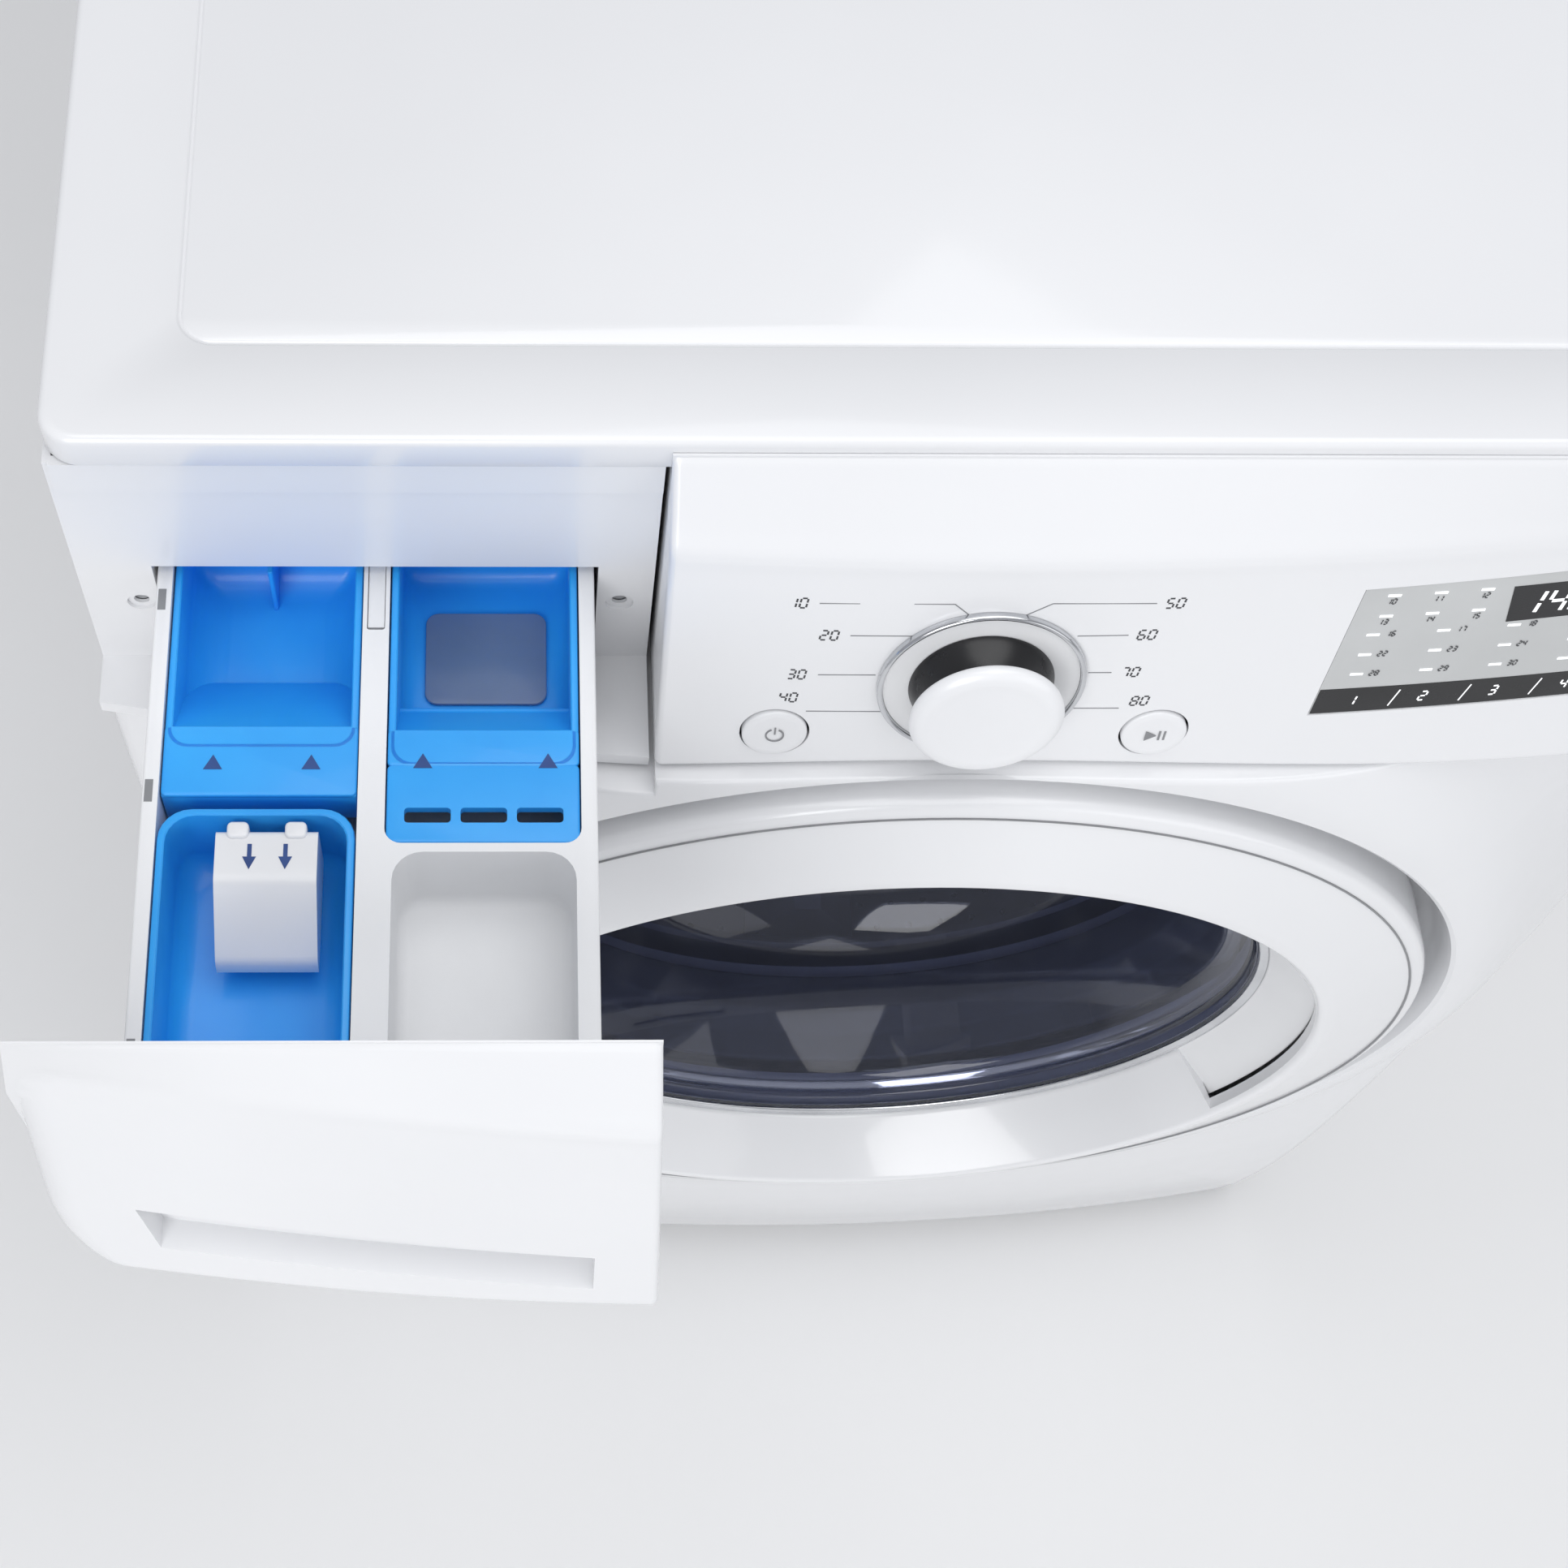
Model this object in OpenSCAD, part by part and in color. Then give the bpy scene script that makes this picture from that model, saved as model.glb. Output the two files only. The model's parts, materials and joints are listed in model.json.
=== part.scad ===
// Front load washing machine, drawer open and door closed.
// X is to the right, Y to the back and Z up; the floor is at Z = 0.
// Sizes inside each module are taken from the front edge of the top plate (Y = 0 there);
// at_machine() moves them so that the origin lies under the middle of the space
// that the machine takes up with its drawer open.

/* [Cabinet] */
// Overall width of the cabinet
cabinet_w = 686; // [680:1:700]
// Height of the top plate above the floor
cabinet_h = 984; // [980:1:990]
// Depth from the top plate's front edge to the rear panel
cabinet_d = 690; // [680:1:700]
// Thickness of the steel sheet
sheet = 1.5; // [1.2:0.1:2]
// Thickness of the plastic shells
shell = 3; // [2.5:0.5:4]
// Radius of the bow of the whole front, seen from above
bow_r = 2115; // [2000:5:2300]

/* [Control panel] */
// Height of the knob's centre
knob_z = 884; // [878:1:888]
// Radius of the chrome ring round the knob
knob_ring_r = 39.5; // [37:0.5:41]
// Radius of the knob's cap
knob_cap_r = 29; // [26:0.5:30]
// Radius of the two push buttons
button_r = 13.4; // [12:0.1:14]
// Distance that a push button travels
button_travel = 1.5; // [1:0.1:2]

/* [Drawer] */
// Distance that the drawer is pulled out
drawer_out = 216; // [190:1:218]
// Height of the tray's rim
tray_rim_z = 892; // [890:1:893]
// Height of the underside of the tray
tray_floor_z = 842; // [841:1:850]
// Length of the tray from the drawer front to its rear wall
tray_len = 262; // [255:1:270]

/* [Door] */
// Height of the door's centre, which is also the drum's
axis_z = 556; // [550:1:560]
// Outer radius of the door
door_r = 264; // [256:1:265]
// Radius of the edge of the glass
glass_r = 194.5; // [190:0.5:195]
// Radius of the round recess that the door sits in
recess_r = 276; // [275:1:278]
// Height of the door hinge
hinge_h = 66; // [50:1:70]

/* [Drum] */
// Outer radius of the drum
drum_r = 270; // [262:1:272]
// Outer radius of the tub
tub_r = 298; // [294:1:302]
// Radius of the drum's mouth
mouth_r = 172; // [170:1:174]

/* [Feet] */
// Radius of a levelling foot's pad
foot_r = 21; // [18:1:24]
// Radius of a foot's threaded stem
stem_r = 5; // [4:0.5:6]

/* [Hidden] */

$fn = 96;
half_w = cabinet_w / 2;
// Y shift that puts the origin under the middle of the open machine
front_y = -217.6;
// Underside of the top plate, and of the cabinet
plate_z = cabinet_h - 16;
skirt_z = 19;
// Front face of the control panel at X = 0: [y, z] from the bottom edge up
face_bottom = [-58.5, 810];
face_crease = [-28.5, 947];
face_top = [-3, 978];
face_slope = (face_crease[0] - face_bottom[0]) / (face_crease[1] - face_bottom[1]);
chamfer_slope = (face_top[1] - face_crease[1]) / (face_top[0] - face_crease[0]);
face_lean = atan(face_slope);
// Vertical profile of the front panel at X = 0: [y, z]
panel_profile = [[-15, skirt_z], [-28, 95], [-36, 205], [-39, 330], [-39, 640], [-45, 850]];
// The arched lower edge of the control panel and the drawer front: [x, z]
arch_edge = [[-343, 815], [-200, 821], [-121, 828.5], [-66, 833.5], [-30, 835.5], [0, 836],
    [30, 835.5], [66, 833.5], [121, 828.5], [160, 824.5], [200, 821], [260, 818], [343, 815]];
// X of the gap between drawer front and control panel
split_x = -123;
// Ledge under the drawer
ledge_z = 827;
// Buttons on the control panel
button_x = [-76, 72];
button_z = 853;
// Tray and its slot
tray_x0 = -312.5;
tray_x1 = -146.5;
tray_y0 = -1.4;
rail_x0 = -234;
rail_x1 = -224;
slot_gap = 1.6;
// Pin of the release tab: [y, z]
tab_pin = [226, tray_rim_z - 8];
// Window in the bleach cup's floor
window_x = [-212, -164];
window_y = [179, 220];
// Hinge axis of the door
hinge_x = -269;
hinge_y = -57;
hinge_pin_r = 3;
hinge_knuckle_r = 4.5;
// Running clearance on a radius
fit = 0.05;
recess_floor_y = -29;
opening_r = 200;
door_face_y = -64;
// Tub and motor along Y
tub_y0 = 34;
tub_seam_y = 210;
tub_y1 = 572;
drum_y0 = 52;
drum_y1 = 535;
shaft_r = 15;
pump_x = -200;
sump_x = -60;
pump_z = 105;
// Connections through the rear panel
valve_x = [190, 270];
valve_z = 890;
gland_x = -250;
drain_x = 285;
spring_x = 285;
spring_y = 330;
damper_x = 252;
hose_r = 12;
hose_bend = 45;
foot_x = half_w - 48;
foot_y0 = 60;
foot_y1 = cabinet_d - 60;

// Shared helpers

module at_machine() {
    translate([0, front_y, 0]) children();
}

module along_y(y) {
    translate([0, y, 0]) rotate([-90, 0, 0]) children();
}

module at_axis(y = 0) {
    translate([0, y, axis_z]) rotate([-90, 0, 0]) children();
}

module box(lo, hi) {
    translate(lo) cube(hi - lo);
}

module tube(outer, inner, h) {
    difference() {
        cylinder(r = outer, h = h);
        translate([0, 0, -1]) cylinder(r = inner, h = h + 2);
    }
}

// Turned about the drum's axis from points of [radius, y]
module turned(points) {
    at_axis() rotate_extrude($fn = 180) polygon(points);
}

// A rounded block standing on Z, with round vertical edges
module round_block(lo, hi, r) {
    size = hi - lo;
    translate(lo) {
        translate([r, 0, 0]) cube([size[0] - 2 * r, size[1], size[2]]);
        translate([0, r, 0]) cube([size[0], size[1] - 2 * r, size[2]]);
        for (x = [r, size[0] - r], y = [r, size[1] - r])
            translate([x, y, 0]) cylinder(r = r, h = size[2], $fn = 48);
    }
}

// An open cup: a round block with a round pocket that leaves a wall and a floor
module cup(lo, hi, wall, r) {
    difference() {
        round_block(lo, hi, r);
        round_block(lo + [wall, wall, wall], [hi[0] - wall, hi[1] - wall, hi[2] + 1], r - wall / 2);
    }
}

// The part of a bowed solid, [y, z] outline at X = 0, between x0 and x1 and in front of y_max
module bowed(points, x0, x1, y_max = 21) {
    bow_y = bow_r + face_bottom[0];
    intersection() {
        translate([0, bow_y, 0]) rotate([0, 0, -100])
            rotate_extrude(angle = 20, $fn = 720) polygon([for (p = points) [bow_y - p[0], p[1]]]);
        box([x0, -150, 0], [x1, y_max, cabinet_h]);
    }
}

// Outline of a band of thickness t that follows an open profile, o behind it
function band(profile, o, t) = concat(
    [for (p = profile) [p[0] + o, p[1]]],
    [for (i = [len(profile) - 1:-1:0]) [profile[i][0] + o + t, profile[i][1]]]);

function bow_at(x) = bow_r - sqrt(bow_r * bow_r - x * x);

function face_y(z) = face_bottom[0] + (z - face_bottom[1]) * face_slope;

// Puts a child on the control panel's face, its Z pointing out of the face
module on_face(x, z) {
    translate([x, face_y(z) + bow_at(x), z])
        rotate([0, 0, asin(x / bow_r)]) rotate([90 - face_lean, 0, 0]) children();
}

// Everything above the arched edge, moved up by gap
module above_arch(gap) {
    rotate([90, 0, 0]) translate([0, gap, -200]) linear_extrude(height = 400)
        polygon(concat([[-400, 812]], arch_edge, [[400, 812], [400, 1100], [-400, 1100]]));
}

// Solid behind the leaning face and its chamfered top, inset by t
module front_body(t, x0, x1, y_max) {
    rise = t * sqrt(1 + chamfer_slope * chamfer_slope);
    lean_y = face_bottom[0] + t / cos(face_lean);
    difference() {
        bowed([[lean_y, face_bottom[1]], [lean_y + face_slope * (cabinet_h - face_bottom[1]), cabinet_h],
            [60, cabinet_h], [60, face_bottom[1]]], x0, x1, y_max);
        rotate([90, 0, 90]) translate([0, 0, -400]) linear_extrude(height = 800)
            polygon([for (y = [-100, 60]) [y, face_crease[1] - rise + (y - face_crease[0]) * chamfer_slope],
                [-100, 1100]]);
    }
}

// Cabinet

module base_pan() color("silver") at_machine() {
    difference() {
        box([-half_w + sheet + 0.5, 22, skirt_z], [half_w - sheet - 0.5, cabinet_d - 3, 48]);
        box([-half_w + 5, 25, skirt_z + 2.5], [half_w - 5, cabinet_d - 6, 60]);
        for (x = [-foot_x, foot_x], y = [foot_y0, foot_y1])
            translate([x, y, 0]) cylinder(r = 9, h = 60);
    }
    for (x = [-foot_x, foot_x], y = [foot_y0, foot_y1])
        translate([x, y, skirt_z]) tube(14, stem_r + fit, 22);
}

// Steel side with a narrow flange down its front and back edges
module side_panel(side) {
    mirror([side < 0 ? 1 : 0, 0, 0]) {
        box([half_w - sheet, 21.5, skirt_z], [half_w, cabinet_d - 0.5, plate_z - 0.5]);
        box([half_w - 16, 21.5, 50], [half_w - sheet, 21.5 + sheet, 800]);
        box([half_w - 16, cabinet_d - 4, 50], [half_w - sheet, cabinet_d - 2.5, plate_z - 16]);
    }
}

module side_panel_left() color("white") at_machine() side_panel(-1);

module side_panel_right() color("white") at_machine() side_panel(1);

module rear_panel() color("gainsboro") at_machine() difference() {
    box([-half_w + sheet + 0.5, cabinet_d - 2, 50], [half_w - sheet - 0.5, cabinet_d, plate_z - 0.5]);
    at_axis(cabinet_d - 10) cylinder(r = 48, h = 20);
    for (x = [-240, 240], z = [300, 640])
        translate([x, 0, z]) along_y(cabinet_d - 10) cylinder(r = 14, h = 20);
    for (x = valve_x)
        translate([x, 0, valve_z]) along_y(cabinet_d - 10) cylinder(r = 15, h = 20);
    translate([gland_x, 0, valve_z]) along_y(cabinet_d - 10) cylinder(r = 12, h = 20);
    translate([drain_x, 0, pump_z]) along_y(cabinet_d - 10) cylinder(r = 12, h = 20);
}

module rear_access_cover() color("silver") at_machine() {
    at_axis(cabinet_d) difference() {
        cylinder(r = 168, h = 1.2);
        for (a = [30:60:330])
            rotate([0, 0, a]) translate([159, 0, -1]) cylinder(r = 2.5, h = 5, $fn = 24);
    }
    for (a = [30:60:330])
        at_axis(cabinet_d) rotate([0, 0, a]) translate([159, 0, 1.2]) cylinder(r = 5, h = 2.2, $fn = 24);
    // Plugs in the four transit bolt holes
    for (x = [-240, 240], z = [300, 640])
        translate([x, 0, z]) along_y(cabinet_d) cylinder(r = 19, h = 3);
}

module top_plate() color("white") at_machine() difference() {
    round_block([-half_w, -2, plate_z], [half_w, cabinet_d, cabinet_h], 14);
    round_block([-half_w + 4, 2, plate_z - 1], [half_w - 4, cabinet_d - 4, cabinet_h - 3.5], 12);
    // Shallow groove that frames the worktop
    difference() {
        round_block([-half_w + 46, 38, cabinet_h - 1], [half_w - 46, cabinet_d - 46, cabinet_h + 1], 14);
        round_block([-half_w + 49, 41, cabinet_h - 2], [half_w - 49, cabinet_d - 49, cabinet_h + 2], 11);
    }
}

module top_board() color("tan") at_machine()
    round_block([-half_w + 6, 6, plate_z + 1], [half_w - 6, cabinet_d - 6, cabinet_h - 3.7], 12);

module crossbars() color("silver") at_machine() {
    for (y = [32, cabinet_d - 40]) {
        box([-half_w + sheet + 0.5, y, plate_z - 3], [half_w - sheet - 0.5, y + 30, plate_z - 0.5]);
        box([-half_w + sheet + 0.5, y, plate_z - 14], [half_w - sheet - 0.5, y + 2.5, plate_z - 3]);
    }
}

// Steel front with a round dished recess for the door
module front_panel() color("white") at_machine() {
    skin = concat(panel_profile, [[21, 850], [21, skirt_z]]);
    inner = [for (p = panel_profile) [p[0] + sheet, min(p[1], 900)]];
    difference() {
        bowed(skin, -half_w, half_w);
        bowed(concat(inner, [[60, 850], [60, 0], [inner[0][0], 0]]), -half_w + sheet, half_w - sheet);
        at_axis(-100) cylinder(r = recess_r, h = 200, $fn = 180);
        above_arch(-2);
        box([pump_x - 55, -60, pump_z - 52], [pump_x + 55, 60, pump_z + 52]);
        // Room for the drawer's ledge
        box([-400, -100, ledge_z - 10], [split_x + 2, 100, 900]);
    }
    // Raised collar round the door
    difference() {
        intersection() {
            turned([[recess_r, -58], [recess_r + 4, -59], [345, -18], [345, -16],
                [recess_r + 4, -57], [recess_r, -56]]);
            box([-half_w, -100, 0], [half_w, 21, 900]);
        }
        above_arch(-2);
        box([-400, -100, ledge_z - 10], [split_x + 2, 100, 900]);
    }
    // Recess wall, floor and the mouth's flange, with the slot for the latch
    difference() {
        turned([[recess_r, -58], [recess_r + 1.5, -58], [recess_r + 1.5, recess_floor_y + 1.5],
            [opening_r + 1.5, recess_floor_y + 1.5], [opening_r + 1.5, -6], [opening_r, -6],
            [opening_r, recess_floor_y], [recess_r, recess_floor_y]]);
        box([218, -40, axis_z - 16], [252, 0, axis_z + 16]);
        above_arch(-2);
    }
}

// Control panel

module display_outline(grow) {
    along = [[134 - grow, 929 + grow], [304 + grow, 935 + grow],
        [304 + grow, 859 - grow], [131 - grow, 859 - grow]];
    rotate([90, 0, 0]) linear_extrude(height = 150) polygon(along);
}

module control_panel() color("white") at_machine() difference() {
    intersection() {
        difference() {
            front_body(0, split_x + 1.5, half_w, 21);
            front_body(shell, split_x + 1.5 + shell, half_w - shell, 60);
            box([split_x + 1, -2.3, plate_z - 0.5], [half_w + 1, 60, cabinet_h]);
        }
        above_arch(0.5);
    }
    intersection() {
        bowed(band([face_bottom, face_crease], -1, 2.4), 90, 330);
        display_outline(0.15);
    }
    on_face(0, knob_z) translate([0, 0, -30]) cylinder(r = 8 + fit, h = 60);
    for (x = button_x)
        on_face(x, button_z) translate([0, 0, -30]) cylinder(r = button_r + 0.08, h = 60);
}

module display_window() color("lightgray") at_machine() intersection() {
    bowed(band([face_bottom, face_crease], 0, 1.2), 90, 330);
    display_outline(0);
}

module control_board() color("darkgreen") at_machine() on_face(0, knob_z) {
    translate([-95, -42, -24]) cube([295, 72, 1.6]);
    // Encoder under the knob, then the two button switches
    translate([0, 0, -22.4]) tube(9, 3.2, 6);
    for (x = button_x)
        translate([x - 4, (button_z - knob_z) / cos(face_lean) - 4, -22.4]) cube([8, 8, 4]);
    translate([130, -24, -22.4]) cube([65, 44, 7]);
}

module knob_ring() color("silver") at_machine() on_face(0, knob_z) {
    translate([0, 0, 0.05]) difference() {
        cylinder(r = knob_ring_r, h = 3);
        translate([0, 0, 1]) cylinder(r = knob_ring_r - 2, h = 5);
        translate([0, 0, -1]) cylinder(r = 8.6, h = 5);
    }
}

// Black flared neck with the shaft that turns in the panel
module knob_neck() color("black") at_machine() on_face(0, knob_z) {
    rotate_extrude() polygon([[0, 1.5], [27.5, 1.5], [26.2, 4], [24.2, 8], [22.6, 12], [21.8, 15],
        [0, 15]]);
    translate([0, 0, -14]) cylinder(r = 8, h = 16);
    translate([0, 0, -22]) cylinder(r = 3, h = 10);
}

module knob_cap() color("white") at_machine() on_face(0, knob_z)
    translate([0, 0, 15]) rotate_extrude()
        polygon([[0, 0], [knob_cap_r - 2, 0], [knob_cap_r, 1.5], [knob_cap_r, 4], [knob_cap_r - 2.5, 6.5],
            [knob_cap_r - 5, 7], [0, 7]]);

module push_button(x) {
    on_face(x, button_z) {
        translate([0, 0, -7]) cylinder(r = button_r, h = 8.2);
        translate([0, 0, -14.5]) cylinder(r = 3, h = 8);
    }
}

module power_button() color("white") at_machine() push_button(button_x[0]);

module start_button() color("white") at_machine() push_button(button_x[1]);

// Dispenser

module dispenser_housing() color("whitesmoke") at_machine() {
    difference() {
        union() {
            // Wall of the recess, its upper lip and its lower ledge
            box([-half_w + 2, 0, ledge_z - 7], [split_x - 0.3, 3, plate_z - 0.5]);
            box([-half_w + 2, -1, 950], [split_x - 0.3, 1, plate_z - 0.5]);
            bowed([[-49.5, ledge_z - 7], [-49.5, ledge_z], [1, ledge_z], [1, ledge_z - 7]],
                -half_w, split_x - 0.3, 1);
            box([-half_w, 0, ledge_z - 7], [-half_w + 3, 21, plate_z - 0.5]);
        }
        box([tray_x0 - slot_gap, -10, tray_floor_z - slot_gap], [tray_x1 + slot_gap, 10, 897]);
        for (x = [-321.5, -136]) {
            translate([x, 0, 870]) along_y(-5) cylinder(r = 3, h = 20, $fn = 32);
            translate([x, 0, 870]) along_y(-5) cylinder(r = 5.5, h = 6.5);
        }
    }
    // Box that the tray slides in, open at the front
    difference() {
        box([tray_x0 - 4, 3, tray_floor_z - 14], [tray_x1 + 4, 290, tray_rim_z + 8]);
        box([tray_x0 - slot_gap, 2, tray_floor_z - slot_gap], [tray_x1 + slot_gap, 287, 897]);
        box([tray_x0 + 12, 60, tray_floor_z - 11], [tray_x1 - 12, 280, tray_floor_z]);
        translate([-200, 250, tray_floor_z - 40]) cylinder(r = 16, h = 30);
    }
    translate([-200, 250, tray_floor_z - 30]) tube(19, 16, 17);
    // Flushing water inlet at the rear
    translate([-180, 0, valve_z - 10]) along_y(286) tube(8, 6, 24);
}

// A piece of the drawer, moved out with it
module pulled_out() {
    translate([0, -drawer_out, 0]) children();
}

// Hollow front of the drawer with a finger recess along its lower half
module drawer_front() color("white") at_machine() pulled_out() {
    back_y = tray_y0 - 0.1;
    difference() {
        intersection() {
            front_body(0, -half_w, split_x - 1, back_y);
            above_arch(0);
        }
        difference() {
            front_body(shell, -half_w + shell, split_x - 1 - shell, back_y - 2.5);
            // Solid round the finger recess
            box([-322, -70, 800], [-142, 0, 872]);
        }
        box([-314, -100, 845], [-150, -26, 865]);
        // Room for the ledge and the top plate when the drawer is shut
        bowed([[-50.5, 800], [-50.5, ledge_z + 0.8], [60, ledge_z + 0.8], [60, 800]], -half_w - 1, 0, 1);
        box([-400, -2.3, plate_z - 0.5], [0, 60, cabinet_h]);
    }
}

module drawer_tray() color("whitesmoke") at_machine() pulled_out() {
    y1 = tray_y0 + tray_len;
    difference() {
        box([tray_x0, tray_y0, tray_floor_z], [tray_x1, y1, tray_rim_z]);
        // Left bay, under the two detergent cups
        box([tray_x0 + 6, tray_y0 + 4, tray_floor_z + 3], [rail_x0, y1 - 4, tray_rim_z + 1]);
        // Right bay at the back, under the bleach cup
        box([rail_x1, 103.5, tray_floor_z + 3], [tray_x1 - 6, y1 - 4, tray_rim_z + 1]);
        // Fabric softener basin at the front
        round_block([rail_x1 + 3, 7, tray_floor_z + 6], [tray_x1 - 8, 100, tray_rim_z + 1], 9);
        // Cut for the release tab and the holes of its pin
        box([rail_x0 + 1.6, 191.5, tray_rim_z - 14], [rail_x1 - 1.6, 233, tray_rim_z + 1]);
        translate([rail_x0 - 1, tab_pin[0], tab_pin[1]]) rotate([0, 90, 0])
            cylinder(r = 1.5 + fit, h = 12, $fn = 32);
    }
}

// Sprung tab that frees the drawer when its front end is pressed
module release_tab() color("whitesmoke") at_machine() pulled_out() {
    box([rail_x0 + 1.9, 193, tray_rim_z - 4], [rail_x1 - 1.9, 230, tray_rim_z - 1]);
    box([rail_x0 + 1.9, tab_pin[0] - 3, tray_rim_z - 11], [rail_x1 - 1.9, tab_pin[0] + 3, tray_rim_z - 3]);
    translate([rail_x0 + 0.2, tab_pin[0], tab_pin[1]]) rotate([0, 90, 0])
        cylinder(r = 1.5, h = rail_x1 - rail_x0 - 0.4, $fn = 32);
}

module prewash_cup() color("deepskyblue") at_machine() pulled_out() {
    x0 = tray_x0 + 6.5;
    x1 = rail_x0 - 0.5;
    difference() {
        union() {
            cup([x0, 142, tray_floor_z + 8], [x1, 242, tray_rim_z - 2], 3, 8);
            box([x0, 123.5, tray_rim_z - 5], [x1, 150, tray_rim_z - 2]);
            box([x0, 123.5, tray_rim_z - 22], [x1, 126.5, tray_rim_z - 2]);
        }
        box([x0 + 3, 152, tray_rim_z - 30], [x1 - 3, 239, tray_rim_z]);
    }
    // Fin across the spout
    box([-272, 222, tray_rim_z - 40], [-270, 240, tray_rim_z - 10]);
}

module mainwash_cup() color("deepskyblue") at_machine() pulled_out() {
    cup([tray_x0 + 6.5, 5, tray_floor_z + 6], [rail_x0 - 0.5, 117.5, tray_rim_z], 3, 12);
}

// White insert that lets liquid detergent stand in the cup
module detergent_insert() color("white") at_machine() pulled_out() difference() {
    union() {
        box([-285, 64, tray_floor_z + 24], [-248, 110, tray_rim_z - 2]);
        box([-284, 56, tray_floor_z + 12], [-249, 66, tray_rim_z - 20]);
    }
    box([-282, 67, tray_floor_z + 10], [-251, 107, tray_rim_z - 5]);
    box([-281, 59, tray_floor_z + 10], [-252, 68, tray_rim_z - 23]);
    for (x = [-279, -269, -259])
        box([x, 50, tray_rim_z - 36], [x + 5, 70, tray_rim_z - 29]);
}

module bleach_cup() color("deepskyblue") at_machine() pulled_out() {
    x0 = rail_x1 + 0.5;
    x1 = tray_x1 - 6.5;
    difference() {
        union() {
            cup([x0, 134, tray_floor_z + 8], [x1, 242, tray_rim_z - 1], 3, 8);
            box([x0, 104, tray_rim_z - 5], [x1, 142, tray_rim_z - 1]);
            box([x0, 104, tray_rim_z - 20], [x1, 107, tray_rim_z - 1]);
        }
        for (x = [x0 + 6, x0 + 27, x0 + 48])
            box([x, 112, tray_rim_z - 30], [x + 17, 118, tray_rim_z + 2]);
        box([window_x[0], window_y[0], tray_floor_z], [window_x[1], window_y[1], tray_floor_z + 20]);
    }
}

module bleach_window() color("lightsteelblue", 0.6) at_machine() pulled_out()
    box([window_x[0] + 0.3, window_y[0] + 0.3, tray_floor_z + 8.5],
        [window_x[1] - 0.3, window_y[1] - 0.3, tray_floor_z + 10.5]);

// A straight length of hose from one point towards +Z of its own frame
module hose_run(from, turn, len) {
    translate(from) rotate(turn) tube(hose_r, hose_r - 3, len);
}

// A quarter bend in the plane of the floor, about a centre, from a start angle
module hose_turn(centre, start) {
    translate(centre) rotate([0, 0, start])
        rotate_extrude(angle = 90) translate([hose_bend, 0]) difference() {
        circle(r = hose_r);
        circle(r = hose_r - 3);
    }
}

module rubber_hoses() color("dimgray") at_machine() {
    left_x = pump_x - 49;
    spigot_x = pump_x + 38.5;
    hose_y = 66;
    side_run = 476.4;
    // Bellows from the dispenser down to the tub's inlet
    translate([-200, 250, 801]) difference() {
        union() {
            cylinder(r = 21.5, h = 26);
            for (z = [2:8:18])
                translate([0, 0, z]) cylinder(r = 24, h = 4);
        }
        translate([0, 0, -1]) cylinder(r = 19.2, h = 60);
    }
    // Sump to pump
    hose_run([sump_x, 330, pump_z + hose_bend], [0, 0, 0], 219 - pump_z - hose_bend);
    translate([sump_x, 330 - hose_bend, pump_z + hose_bend]) rotate([0, 90, 0])
        rotate_extrude(angle = 90) translate([hose_bend, 0]) difference() {
            circle(r = hose_r);
            circle(r = hose_r - 3);
        }
    hose_run([sump_x, hose_y + hose_bend, pump_z], [-90, 0, 0], 219 - hose_bend);
    hose_turn([sump_x - hose_bend, hose_y + hose_bend, pump_z], 270);
    hose_run([spigot_x, hose_y, pump_z], [0, 90, 0], sump_x - hose_bend - spigot_x);
    // Pump round the left side and along the back to the drain outlet
    hose_run([left_x, hose_y, pump_z], [0, 90, 0], 10.5);
    hose_turn([left_x, hose_y + hose_bend, pump_z], 180);
    hose_run([left_x - hose_bend, hose_y + hose_bend, pump_z], [-90, 0, 0], side_run);
    hose_turn([left_x, hose_y + hose_bend + side_run, pump_z], 90);
    hose_run([left_x, hose_y + 2 * hose_bend + side_run, pump_z], [0, 90, 0], drain_x - hose_bend - left_x);
    hose_turn([drain_x - hose_bend, hose_y + 3 * hose_bend + side_run, pump_z], 270);
}

// Door

module hinge_notch(gap) {
    box([-300, -70, axis_z - hinge_h / 2 - gap], [-254, -30, axis_z + hinge_h / 2 + gap]);
}

module door_ring() color("white") at_machine() difference() {
    turned([[door_r, -60], [door_r - 1, door_face_y], [219, -78.5], [215, -79], [glass_r + 1, -46],
        [glass_r + 1, -43], [glass_r + 7, -42], [216, -74], [219, -75.5], [door_r - 4, -61],
        [door_r - 3, -34], [door_r - 0.5, -34]]);
    // Grip pocket cut through the inner slope, on the side away from the hinge
    at_axis() rotate([0, 0, -22]) rotate_extrude(angle = 50)
        polygon([[188, -74], [216, -74], [216, -41.5], [188, -41.5]]);
    hinge_notch(2);
}

module door_inner_frame() color("silver") at_machine() {
    difference() {
        turned([[door_r - 4, -33.5], [door_r - 4, -30.5], [glass_r + 6, -30.5], [glass_r + 2, -22],
            [glass_r - 3, -22], [glass_r - 3, -34], [glass_r + 8, -39], [glass_r + 12, -33.5]]);
        hinge_notch(2);
        box([226, -60, axis_z - 10], [246, 0, axis_z + 10]);
    }
    // Lugs that carry the latch's pin
    for (z = [axis_z - 13, axis_z + 10.5])
        difference() {
            box([228, -44, z], [244, -33.5, z + 2.5]);
            translate([236, -39, z - 1]) cylinder(r = 2 + fit, h = 5, $fn = 32);
        }
}

// Deep bowl of dark glass
module door_glass() color("midnightblue", 0.45) at_machine()
    turned([[glass_r - 5, -41], [glass_r - 5, -35], [176, -32], [163, 4], [152, 46], [136, 66], [110, 74],
        [0, 77], [0, 82], [112, 79], [140, 71], [157, 50], [168, 5], [180, -27], [glass_r - 4, -28],
        [glass_r - 4, -41]]);

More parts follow.
